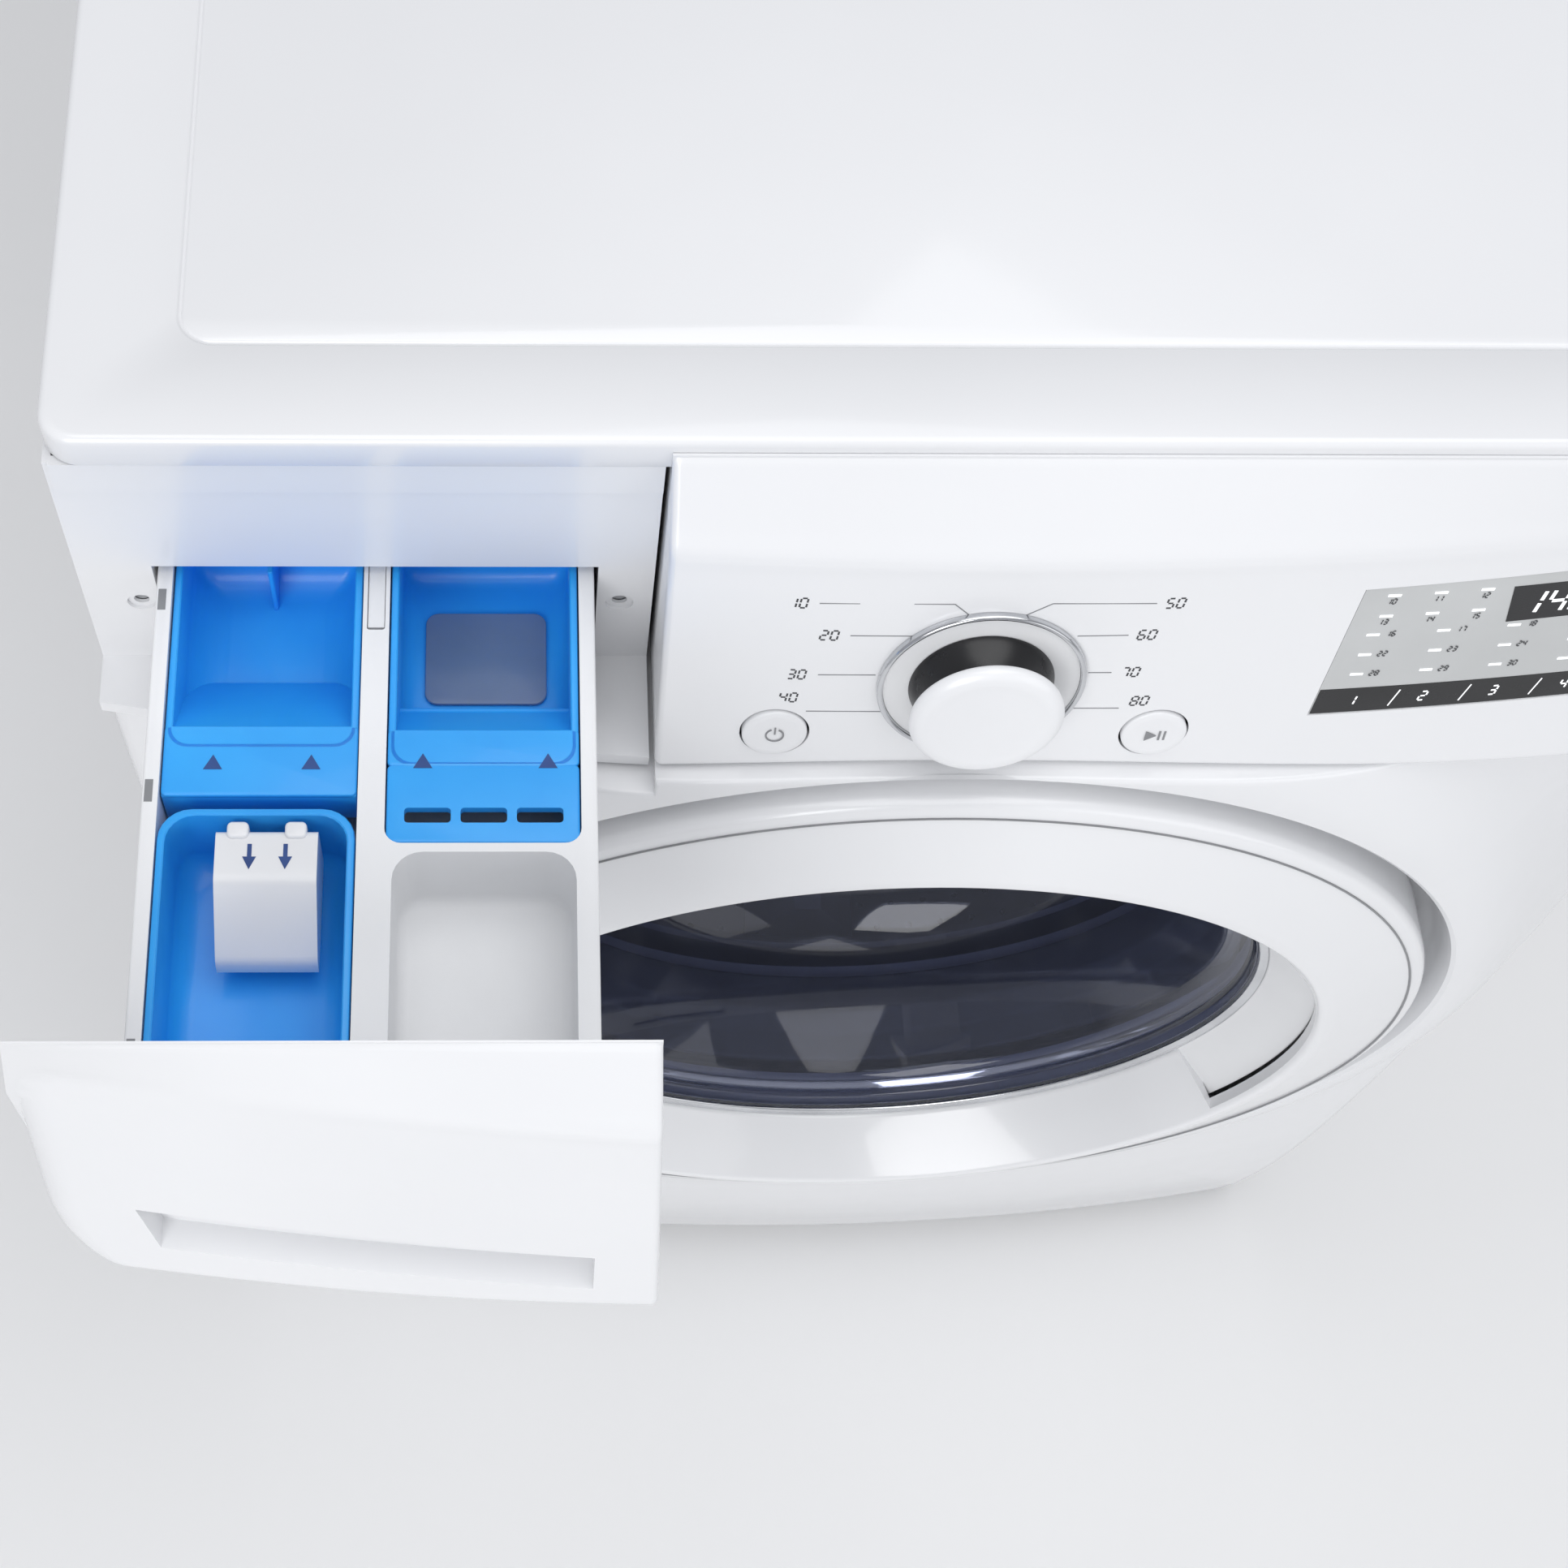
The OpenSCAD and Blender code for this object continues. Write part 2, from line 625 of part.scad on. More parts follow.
module glass_trim() color("silver") at_machine()
    turned([[glass_r + 0.5, -45], [glass_r + 0.5, -41.5], [glass_r - 4, -41.5], [glass_r - 4, -44]]);

// Door leaf of the hinge, its knuckle turning on the bracket's pin
module door_hinge() color("silver") at_machine() {
    difference() {
        union() {
            translate([hinge_x, hinge_y, axis_z - 16]) cylinder(r = hinge_knuckle_r, h = 32);
            box([hinge_x, hinge_y + 2.5, axis_z - 16], [hinge_x + 12, hinge_y + 5.5, axis_z + 16]);
            box([hinge_x + 9, hinge_y + 2.5, axis_z - 16], [hinge_x + 12, -36, axis_z + 16]);
            box([hinge_x + 9, -39, axis_z - 28], [-222, -36.5, axis_z + 28]);
        }
        translate([hinge_x, hinge_y, axis_z - 20]) cylinder(r = hinge_pin_r + fit, h = 40);
    }
}

module hinge_bracket() color("silver") at_machine() {
    for (z = [axis_z - hinge_h / 2, axis_z + 17])
        translate([hinge_x, hinge_y, z]) cylinder(r = hinge_knuckle_r, h = hinge_h / 2 - 17);
    translate([hinge_x, hinge_y, axis_z - hinge_h / 2]) cylinder(r = hinge_pin_r, h = hinge_h);
    for (z = [axis_z - hinge_h / 2, axis_z + 17])
        box([hinge_x - 4.5, hinge_y, z], [hinge_x - 2, recess_floor_y - 0.2, z + hinge_h / 2 - 17]);
    box([hinge_x - 4.5, recess_floor_y - 2.2, axis_z - hinge_h / 2],
        [hinge_x - 1, recess_floor_y - 0.2, axis_z + hinge_h / 2]);
}

// Sprung hook that snaps into the lock
module latch_hook() color("dimgray") at_machine() {
    translate([236, -39, axis_z - 13]) cylinder(r = 2, h = 26, $fn = 32);
    box([232.5, -42, axis_z - 7], [239.5, -18, axis_z + 7]);
    box([232.5, -18, axis_z - 7], [236.5, -8, axis_z + 7]);
    box([232.5, -12, axis_z - 7], [243, -8, axis_z + 7]);
}

module door_lock() color("dimgray") at_machine() difference() {
    box([212, recess_floor_y + 2, axis_z - 40], [258, 6, axis_z + 40]);
    box([220, recess_floor_y - 5, axis_z - 14], [250, 0, axis_z + 14]);
}

// Grey rubber bellows between the front panel's mouth and the tub
module door_gasket() color("gray") at_machine()
    turned([[opening_r - 0.4, -12], [opening_r - 0.4, -4], [opening_r + 8, -4], [opening_r + 8, 12],
        [188, 20], [188, 29], [202, 29], [202, 33.8], [178, 33.8], [178, 12], [194, 4], [194, -12]]);

// Washing unit

module tub_front() color("whitesmoke") at_machine() {
    turned([[184.5, tub_y0], [184.5, tub_y0 + 8], [212, tub_y0 + 8], [tub_r - 8, tub_y0 + 16],
        [tub_r - 4, tub_y0 + 24], [tub_r - 4, tub_seam_y], [tub_r + 6, tub_seam_y],
        [tub_r + 6, tub_seam_y - 6],
        [tub_r, tub_seam_y - 6], [tub_r, tub_y0 + 20], [tub_r - 4, tub_y0 + 10], [214, tub_y0]]);
}

module tub_rear() color("whitesmoke") at_machine() {
    difference() {
        turned([[tub_r - 4, tub_seam_y + 0.3], [tub_r + 6, tub_seam_y + 0.3], [tub_r + 6, tub_seam_y + 6],
            [tub_r, tub_seam_y + 6], [tub_r, tub_y1 - 14], [tub_r - 14, tub_y1], [60, tub_y1],
            [60, tub_y1 + 8],
            [41, tub_y1 + 8], [41, tub_y1 - 30], [60, tub_y1 - 30], [60, tub_y1 - 4],
            [tub_r - 15, tub_y1 - 4],
            [tub_r - 4, tub_y1 - 15]]);
        translate([-200, 250, 700]) cylinder(r = 16, h = 100);
    }
    // Inlet spout under the dispenser hose
    translate([-200, 250, 0]) difference() {
        translate([0, 0, 740]) cylinder(r = 19, h = 68);
        translate([0, 0, 700]) cylinder(r = 16, h = 120);
        translate([200, -250, 0]) at_axis(200) cylinder(r = tub_r - 2, h = 100);
    }
    // Ears that the springs hold
    for (s = [-1, 1])
        box([min(s * 256, s * (spring_x + 12)), spring_y - 12, 694],
            [max(s * 256, s * (spring_x + 12)), spring_y + 12, 700]);
    // Sump at the bottom
    difference() {
        translate([sump_x, 330, 220]) cylinder(r = 34, h = 50);
        translate([sump_x, 330, 224]) cylinder(r = 30, h = 60);
        at_axis(200) cylinder(r = tub_r - 2, h = 300);
    }
}

// Two cast blocks bolted to the tub's front, above and below its mouth
module counterweights() color("gray") at_machine() {
    for (a = [215, 35])
        at_axis(-4) rotate([0, 0, a]) rotate_extrude(angle = 110) translate([220, 0]) square([60, 37.7]);
}

module drum() color("silver") at_machine() {
    turned([[mouth_r, drum_y0 + 4], [mouth_r, drum_y0], [mouth_r + 4, drum_y0 - 2],
        [drum_r - 20, drum_y0 + 4],
        [drum_r, drum_y0 + 22], [drum_r, drum_y1], [0, drum_y1], [0, drum_y1 - 2],
        [drum_r - 2, drum_y1 - 2],
        [drum_r - 2, drum_y0 + 23], [drum_r - 21, drum_y0 + 6], [mouth_r + 4, drum_y0]]);
}

module drum_lifters() color("whitesmoke") at_machine() {
    for (a = [90, 210, 330])
        at_axis(0) rotate([0, 0, a]) translate([0, 0, drum_y0 + 40]) linear_extrude(height = 400)
            polygon([[drum_r - 5.5, -34], [drum_r - 5.5, 34], [236, 22], [212, 8], [212, -8], [236, -22]]);
}

module drum_spider() color("darkgray") at_machine() {
    at_axis(drum_y1 + 0.3) {
        cylinder(r = 34, h = 6);
        for (a = [30, 150, 270])
            rotate([0, 0, a]) translate([0, -20, 0]) cube([drum_r - 14, 40, 5]);
    }
}

module drum_shaft() color("silver") at_machine()
    at_axis(drum_y1 + 6.4) cylinder(r = shaft_r, h = 97);

module motor_rotor() color("dimgray") at_machine() {
    turned([[shaft_r + fit, 618], [shaft_r + fit, 633], [30, 633], [30, 630], [146, 630], [146, 596],
        [142, 596], [142, 626], [30, 626], [30, 618]]);
}

module motor_stator() color("peru") at_machine() {
    turned([[64, tub_y1 + 12], [64, tub_y1 + 18], [96, tub_y1 + 18], [96, tub_y1 + 44], [110, tub_y1 + 44],
        [110, tub_y1 + 12]]);
    for (a = [0:20:340])
        at_axis(tub_y1 + 22) rotate([0, 0, a]) translate([109, -7, 0]) cube([28, 14, 20]);
    for (a = [45:90:315])
        at_axis(tub_y1) rotate([0, 0, a]) translate([80, 0, 0.2]) cylinder(r = 8, h = 14);
}

module tub_bearings() color("silver") at_machine() {
    for (y = [tub_y1 - 28, tub_y1 - 8])
        at_axis(y) tube(40.98, shaft_r + fit, 14);
}

module shaft_seal() color("black") at_machine()
    at_axis(tub_y1 - 29.6) tube(40.98, shaft_r + fit, 1.4);

// Coil springs, each with its hooks and the bracket on the cabinet's side that it hangs from
module suspension_springs() color("silver") at_machine() {
    for (s = [-1, 1]) {
        translate([s * spring_x, spring_y, 0]) {
            translate([0, 0, 700.2]) cylinder(r = 3, h = 249);
            translate([0, 0, 740]) cylinder(r = 8.5, h = 180);
            for (z = [742:8:912])
                translate([0, 0, z]) cylinder(r = 11, h = 4.5);
        }
        box([min(s * 272, s * 341), spring_y - 14, 948], [max(s * 272, s * 341), spring_y + 14, 950.5]);
    }
}

// Four friction dampers between the base and the tub
module dampers() color("dimgray") at_machine() {
    for (s = [-1, 1], y = [150, 500])
        translate([s * damper_x, y, 0]) {
            translate([-15, -14, skirt_z + 2.7]) cube([30, 28, 16]);
            translate([0, 0, 36]) cylinder(r = 14, h = 190);
            translate([0, 0, 225]) cylinder(r = 7, h = 160);
        }
}

// Drain

module drain_pump() color("dimgray") at_machine() {
    translate([pump_x, 0, pump_z]) {
        difference() {
            along_y(14) tube(38, 31, 70);
            translate([-60, 66, 0]) rotate([0, 90, 0]) cylinder(r = 9, h = 120);
        }
        along_y(84) tube(38, 8, 3);
        along_y(100) cylinder(r = 28, h = 60);
        along_y(86) tube(31, 26, 15);
        // Inlet and outlet spigots
        for (s = [-1, 1])
            translate([s * 42, 66, 0]) rotate([0, 90, 0]) translate([0, 0, -6]) tube(hose_r - 3.2, 7, 12);
    }
}

module pump_impeller() color("white") at_machine()
    translate([pump_x, 0, pump_z]) along_y(60) {
        cylinder(r = 6, h = 38);
        for (a = [0:60:300])
            rotate([0, 0, a]) translate([0, -1, 0]) cube([24, 2, 14]);
    }

module filter_cap() color("whitesmoke") at_machine()
    translate([pump_x, 0, pump_z]) {
        along_y(-6) cylinder(r = 36, h = 14);
        along_y(7) tube(30.9, 27, 40);
        translate([-22, -12, -4]) cube([44, 7, 8]);
    }

// Cover over the drain filter, which pulls straight off
module filter_door() color("white") at_machine() {
    intersection() {
        bowed(band(panel_profile, 0, 2), pump_x - 54, pump_x + 54);
        box([-400, -60, pump_z - 51], [0, 60, pump_z + 51]);
    }
}

// Connections on the back

module inlet_valves() color("royalblue") at_machine() {
    for (x = valve_x) {
        translate([x, 0, valve_z]) {
            difference() {
                union() {
                    along_y(cabinet_d - 40) cylinder(r = 14.8, h = 40.2);
                    along_y(cabinet_d) cylinder(r = 13.2, h = 14.2);
                    along_y(cabinet_d - 62) cylinder(r = 17, h = 24);
                }
                along_y(cabinet_d - 30) cylinder(r = 8, h = 60);
            }
        }
        translate([x - 11, cabinet_d - 60, valve_z]) cube([22, 20, 38]);
    }
    box([168, cabinet_d - 7, valve_z - 21], [292, cabinet_d - 5, valve_z + 21]);
}

module drain_outlet() color("dimgray") at_machine()
    translate([drain_x, 0, pump_z]) {
        along_y(cabinet_d - 10) tube(11.8, 8, 10.2);
        along_y(cabinet_d) tube(11, 8, 14.2);
        along_y(cabinet_d - 12) tube(18, 8, 4);
    }

module cord_gland() color("black") at_machine()
    translate([gland_x, 0, valve_z]) along_y(cabinet_d - 12) {
        tube(11.8, 4.5, 22);
        translate([0, 0, 12.2]) tube(15, 4.5, 4);
        translate([0, 0, 5]) tube(15, 4.5, 4);
    }

// Levelling feet

module foot(x, y) {
    translate([x, y, 0]) {
        cylinder(r = foot_r, h = 7);
        translate([0, 0, 7]) cylinder(r = 11, h = 7, $fn = 6);
        cylinder(r = stem_r, h = 64);
    }
}

module foot_front_left() color("dimgray") at_machine() foot(-foot_x, foot_y0);

module foot_front_right() color("dimgray") at_machine() foot(foot_x, foot_y0);

module foot_rear_left() color("dimgray") at_machine() foot(-foot_x, foot_y1);

module foot_rear_right() color("dimgray") at_machine() foot(foot_x, foot_y1);

base_pan();
side_panel_left();
side_panel_right();
rear_panel();
rear_access_cover();
top_plate();
top_board();
crossbars();
front_panel();
control_panel();
display_window();
control_board();
knob_ring();
knob_neck();
knob_cap();
power_button();
start_button();
dispenser_housing();
drawer_front();
drawer_tray();
prewash_cup();
mainwash_cup();
detergent_insert();
bleach_cup();
bleach_window();
release_tab();
rubber_hoses();
door_ring();
door_inner_frame();
door_glass();
glass_trim();
door_hinge();
hinge_bracket();
latch_hook();
door_lock();
door_gasket();
tub_front();
tub_rear();
counterweights();
drum();
drum_lifters();
drum_spider();
drum_shaft();
motor_rotor();
motor_stator();
tub_bearings();
shaft_seal();
suspension_springs();
dampers();
drain_pump();
pump_impeller();
filter_cap();
filter_door();
inlet_valves();
drain_outlet();
cord_gland();
foot_front_left();
foot_front_right();
foot_rear_left();
foot_rear_right();
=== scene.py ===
"""Front load washing machine with its detergent drawer pulled out.

Sizes are in millimetres, measured from the front edge of the top plate, and are
turned into metres in the machine's frame by place(). Pieces of the drawer are
made where they lie with the drawer shut and moved out by DRAWER_OUT.
"""

import json
import math

import bmesh
import bpy
import numpy as np
from mathutils import Matrix, Vector


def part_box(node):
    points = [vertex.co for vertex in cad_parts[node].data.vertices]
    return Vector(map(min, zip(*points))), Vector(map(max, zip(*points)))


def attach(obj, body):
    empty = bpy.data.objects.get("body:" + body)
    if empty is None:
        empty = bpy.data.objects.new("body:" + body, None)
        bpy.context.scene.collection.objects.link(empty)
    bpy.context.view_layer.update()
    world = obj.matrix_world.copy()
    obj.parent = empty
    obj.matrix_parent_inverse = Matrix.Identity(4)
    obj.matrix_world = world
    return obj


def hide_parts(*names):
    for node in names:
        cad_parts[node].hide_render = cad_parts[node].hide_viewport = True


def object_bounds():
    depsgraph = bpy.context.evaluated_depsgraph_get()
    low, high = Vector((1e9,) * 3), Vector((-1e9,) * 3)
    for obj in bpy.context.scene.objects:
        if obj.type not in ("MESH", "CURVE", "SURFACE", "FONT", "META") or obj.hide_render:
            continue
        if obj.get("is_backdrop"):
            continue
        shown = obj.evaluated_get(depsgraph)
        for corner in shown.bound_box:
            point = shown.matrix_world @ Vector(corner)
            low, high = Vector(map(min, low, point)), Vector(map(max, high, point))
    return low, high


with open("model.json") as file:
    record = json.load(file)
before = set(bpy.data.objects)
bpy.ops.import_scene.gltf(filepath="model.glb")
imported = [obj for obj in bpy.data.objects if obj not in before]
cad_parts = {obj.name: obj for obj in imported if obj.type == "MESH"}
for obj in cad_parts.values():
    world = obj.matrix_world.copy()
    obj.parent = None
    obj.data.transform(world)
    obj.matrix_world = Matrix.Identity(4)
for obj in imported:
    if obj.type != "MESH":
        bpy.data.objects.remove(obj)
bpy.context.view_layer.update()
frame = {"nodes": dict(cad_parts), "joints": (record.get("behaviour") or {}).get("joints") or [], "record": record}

# Where the machine's own measures start, and how far the drawer is out
FRONT_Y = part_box("top_plate")[0].y * 1000 + 2
drawer_joint = next(j for j in frame["joints"] if j["name"] == "drawer_slide")
DRAWER_OUT = -1000 * drawer_joint["range_m"][0]

# Sizes of the front
HALF_W = 343
PLATE_Z, TOP_Z, DEPTH = 968, 984, 690
BOW_R = 2115
FACE_BOTTOM, FACE_CREASE, FACE_TOP = (-58.5, 810), (-28.5, 947), (-3, 978)
FACE_SLOPE = (FACE_CREASE[0] - FACE_BOTTOM[0]) / (FACE_CREASE[1] - FACE_BOTTOM[1])
CREASE_BLEND = 7
SPLIT_X = -122.5
ARCH = [(-343, 815), (-200, 821), (-121, 828), (-66, 833.5), (-30, 835.5), (0, 836), (30, 835.5),
        (66, 833.5), (121, 828.5), (160, 824.5), (200, 821), (260, 818), (343, 815)]
FRONT_PROFILE = [(-15, 19), (-28, 95), (-36, 205), (-39, 330), (-39, 640), (-45, 850)]
LEDGE_Z = 827
# Front panel: its foot, its edge below the drawer, and where that edge steps up to the arch
PANEL_FOOT_Z, BELOW_DRAWER_Z, DRAWER_SIDE_X = 19, 817, -121
# Front panel round the door: the dished seat's rim, and where the dish has faded into the panel
DISH_R, DISH_Y, DISH_END_R = 279, -59.0, 352
# Filter door: its left, right, bottom and top edges
FILTER_DOOR = (-253.7, -146.3, 52.3, 157.7)
# Door and drum
AXIS_Z, DOOR_R, GLASS_R, RECESS_R = 556, 264, 194.5, 276
DRUM_R, DRUM_BACK, DRUM_WALL = 270, 535, 2.2
# Degrees either side of the door's right hand point that the grip pocket spans
GRIP = (-25, 25)
# Knob and buttons on the face: x, z
KNOB = (-0.5, 884)
BUTTONS = {"power_button": (-76, 853), "start_button": (72, 853)}
BUTTON_R = 13.4
# Tray
TRAY_X0, TRAY_X1, RAIL_X0, RAIL_X1 = -312.5, -146.5, -234, -224
RIM_Z, TRAY_FLOOR_Z, TRAY_Y0, TRAY_Y1 = 892, 842, -1.4, 260.6


# ---------------------------------------------------------------- camera and placing

def add_object(name, data):
    """A new object in the scene that holds a mesh, a light or a camera."""
    thing = bpy.data.objects.new(name, data)
    bpy.context.scene.collection.objects.link(thing)
    return thing


def set_camera():
    """Camera above the front edge, looking down at the drawer, panel and door."""
    pitch, yaw, roll = math.radians(64.994), math.radians(2.964), math.radians(2.662)
    ahead = Vector((math.sin(yaw) * math.cos(pitch), math.cos(yaw) * math.cos(pitch), -math.sin(pitch)))
    right = Vector((math.cos(yaw), -math.sin(yaw), 0))
    up = right.cross(ahead)
    right, up = (right * math.cos(roll) + up * math.sin(roll),
                 up * math.cos(roll) - right * math.sin(roll))
    data = bpy.data.cameras.new("camera")
    data.sensor_width, data.lens = 36, 55.27
    data.shift_x, data.shift_y = 0.1377, 0.0176
    data.clip_start, data.clip_end = 0.05, 50
    camera = add_object("camera", data)
    turn = Matrix((right, up, -ahead)).transposed().to_4x4()
    eye = place([(-176.5, -469.7, 1685.5)])[0]
    camera.matrix_world = Matrix.Translation(eye) @ turn
    bpy.context.scene.camera = camera


def place(points, out=0.0):
    """Millimetres of the machine's own measures to metres in its frame."""
    p = np.asarray(points, float).reshape(-1, 3) / 1000
    p[:, 1] += (FRONT_Y - out) / 1000
    return [Vector(q) for q in p]


set_camera()


# ---------------------------------------------------------------- finishes

def finish(name, colour, second, rough, metallic=0.0, coat=0.0, mottle=9.0, grain=700.0,
           bump=0.05, stretch=(1, 1, 1), clear=0.0, ior=1.5, sheen=0.0, glow=0.0, subsurface=0.0):
    """A moulded, painted or metal finish: slight mottling, varying gloss and a fine surface grain.

    rough is the lowest and highest roughness, and mottle and grain are noise scales.
    """
    mat = bpy.data.materials.new(name)
    mat.use_nodes = True
    tree = mat.node_tree
    shader = tree.nodes["Principled BSDF"]
    coord = tree.nodes.new("ShaderNodeTexCoord")
    mapping = tree.nodes.new("ShaderNodeMapping")
    mapping.inputs["Scale"].default_value = stretch
    tree.links.new(coord.outputs["Object"], mapping.inputs["Vector"])

    def noise(scale, detail):
        node = tree.nodes.new("ShaderNodeTexNoise")
        node.inputs["Scale"].default_value = scale
        node.inputs["Detail"].default_value = detail
        tree.links.new(mapping.outputs["Vector"], node.inputs["Vector"])
        return node

    cloud = noise(mottle, 4)
    ramp = tree.nodes.new("ShaderNodeValToRGB")
    ramp.color_ramp.elements[0].position, ramp.color_ramp.elements[1].position = 0.35, 0.65
    ramp.color_ramp.elements[0].color = (*colour, 1)
    ramp.color_ramp.elements[1].color = (*second, 1)
    tree.links.new(cloud.outputs["Fac"], ramp.inputs["Fac"])
    tree.links.new(ramp.outputs["Color"], shader.inputs["Base Color"])
    gloss = noise(mottle * 6, 5)
    spread = tree.nodes.new("ShaderNodeMapRange")
    spread.inputs["To Min"].default_value, spread.inputs["To Max"].default_value = rough
    tree.links.new(gloss.outputs["Fac"], spread.inputs["Value"])
    tree.links.new(spread.outputs["Result"], shader.inputs["Roughness"])
    fine = noise(grain, 3)
    relief = tree.nodes.new("ShaderNodeBump")
    relief.inputs["Strength"].default_value = bump
    relief.inputs["Distance"].default_value = 0.0004
    tree.links.new(fine.outputs["Fac"], relief.inputs["Height"])
    tree.links.new(relief.outputs["Normal"], shader.inputs["Normal"])
    shader.inputs["Metallic"].default_value = metallic
    shader.inputs["Coat Weight"].default_value = coat
    shader.inputs["Coat Roughness"].default_value = 0.08
    shader.inputs["Transmission Weight"].default_value = clear
    shader.inputs["IOR"].default_value = ior
    shader.inputs["Sheen Weight"].default_value = sheen
    if subsurface:
        shader.inputs["Subsurface Weight"].default_value = subsurface
        shader.inputs["Subsurface Radius"].default_value = (0.004, 0.004, 0.006)
    if glow:
        shader.inputs["Emission Color"].default_value = (1, 1, 1, 1)
        shader.inputs["Emission Strength"].default_value = glow
    return mat


MATERIALS = {
    "white_enamel": finish("white_enamel", (0.80, 0.805, 0.82), (0.825, 0.83, 0.845), (0.20, 0.28),
                           coat=0.5, mottle=5, grain=420, bump=0.05),
    "white_plastic": finish("white_plastic", (0.80, 0.805, 0.82), (0.825, 0.83, 0.845), (0.26, 0.34),
                            coat=0.25, mottle=8, grain=900, bump=0.03),
    "matt_white_plastic": finish("matt_white_plastic", (0.80, 0.805, 0.815), (0.84, 0.845, 0.855),
                                 (0.40, 0.52), mottle=12, grain=1300, bump=0.10),
    "blue_plastic": finish("blue_plastic", (0.025, 0.36, 0.88), (0.032, 0.41, 0.94), (0.30, 0.42),
                           mottle=16, grain=1200, bump=0.05, coat=0.15, subsurface=0.12),
    "smoked_window": finish("smoked_window", (0.30, 0.42, 0.60), (0.36, 0.48, 0.66), (0.16, 0.28),
                            clear=0.55, mottle=22, grain=1500, bump=0.04),
    "display_face": finish("display_face", (0.52, 0.53, 0.53), (0.56, 0.57, 0.57), (0.30, 0.40),
                           mottle=18, grain=1500, bump=0.03),
    "dark_plastic": finish("dark_plastic", (0.006, 0.006, 0.007), (0.014, 0.014, 0.016), (0.22, 0.36),
                           mottle=20, grain=1400, bump=0.06),
    "grey_plastic": finish("grey_plastic", (0.36, 0.37, 0.385), (0.41, 0.42, 0.435), (0.32, 0.44),
                           mottle=16, grain=1200, bump=0.06),
    "chrome_trim": finish("chrome_trim", (0.55, 0.56, 0.58), (0.66, 0.67, 0.69), (0.06, 0.14),
                          metallic=1.0, mottle=30, grain=1600, bump=0.01),
    "dark_glass": finish("dark_glass", (0.30, 0.33, 0.46), (0.34, 0.37, 0.50), (0.02, 0.05),
                         clear=0.94, ior=1.45, mottle=6, grain=60, bump=0.01),
    "stainless": finish("stainless", (0.50, 0.505, 0.51), (0.58, 0.585, 0.59), (0.30, 0.44),
                        metallic=1.0, mottle=5, grain=260, bump=0.05, stretch=(1, 9, 1)),
    "zinc_steel": finish("zinc_steel", (0.46, 0.47, 0.48), (0.62, 0.63, 0.64), (0.28, 0.48),
                         metallic=0.9, mottle=55, grain=300, bump=0.08),
    "grey_rubber": finish("grey_rubber", (0.20, 0.205, 0.21), (0.25, 0.255, 0.26), (0.50, 0.66),
                          mottle=25, grain=900, bump=0.12, sheen=0.2),
    "black_rubber": finish("black_rubber", (0.012, 0.012, 0.013), (0.026, 0.026, 0.027), (0.48, 0.70),
                           mottle=25, grain=800, bump=0.16, sheen=0.2),
    "concrete": finish("concrete", (0.26, 0.26, 0.25), (0.42, 0.42, 0.40), (0.75, 0.92),
                       mottle=60, grain=350, bump=0.5),
    "cast_alloy": finish("cast_alloy", (0.42, 0.43, 0.44), (0.50, 0.51, 0.52), (0.40, 0.60),
                         metallic=0.9, mottle=40, grain=600, bump=0.25),
    "copper_windings": finish("copper_windings", (0.48, 0.17, 0.06), (0.62, 0.26, 0.10), (0.28, 0.42),
                              metallic=0.9, mottle=50, grain=160, bump=0.5, stretch=(1, 20, 1)),
    "circuit_board": finish("circuit_board", (0.01, 0.10, 0.04), (0.02, 0.16, 0.07), (0.30, 0.45),
                            mottle=120, grain=500, bump=0.2),
    "board": finish("board", (0.36, 0.24, 0.13), (0.50, 0.36, 0.22), (0.65, 0.85),
                    mottle=90, grain=500, bump=0.4),
    "valve_blue": finish("valve_blue", (0.02, 0.07, 0.34), (0.03, 0.09, 0.42), (0.34, 0.46),
                         mottle=18, grain=1200, bump=0.06),
    "panel_print": finish("panel_print", (0.045, 0.047, 0.052), (0.06, 0.062, 0.068), (0.40, 0.50),
                          mottle=60, grain=1500, bump=0.02),
    "tray_print": finish("tray_print", (0.014, 0.05, 0.20), (0.02, 0.07, 0.26), (0.40, 0.50),
                         mottle=60, grain=1500, bump=0.02),
    "grey_print": finish("grey_print", (0.22, 0.225, 0.235), (0.26, 0.265, 0.275), (0.40, 0.50),
                         mottle=60, grain=1500, bump=0.02),
    "lit_segment": finish("lit_segment", (0.85, 0.87, 0.9), (0.9, 0.92, 0.95), (0.3, 0.4),
                          mottle=60, grain=1500, bump=0.01, glow=0.55),
    "floor_paint": finish("floor_paint", (0.86, 0.86, 0.86), (0.88, 0.88, 0.88), (0.6, 0.7),
                          mottle=1.5, grain=80, bump=0.02),
}
for part in frame["record"]["subparts"]:
    for material_slot in frame["nodes"][part["node"]].material_slots:
        material_slot.material = MATERIALS[part["material_slot"]]


# ---------------------------------------------------------------- making meshes

MERGE = 2e-6  # metres apart, at most, for two points to become one


def loose(points, faces, out=0.0, name="cutter", clean=False, solid=True):
    """A mesh object in millimetres, its doubles merged and, if solid, its faces turned outwards."""
    mesh = bpy.data.meshes.new(name)
    mesh.from_pydata(place(points, out), [], [list(f) for f in faces])
    work = bmesh.new()
    work.from_mesh(mesh)
    bmesh.ops.remove_doubles(work, verts=work.verts, dist=MERGE)
    if clean:
        bmesh.ops.dissolve_degenerate(work, edges=work.edges, dist=MERGE / 2)
    if solid:
        bmesh.ops.recalc_face_normals(work, faces=work.faces)
    work.to_mesh(mesh)
    work.free()
    return add_object(name, mesh)


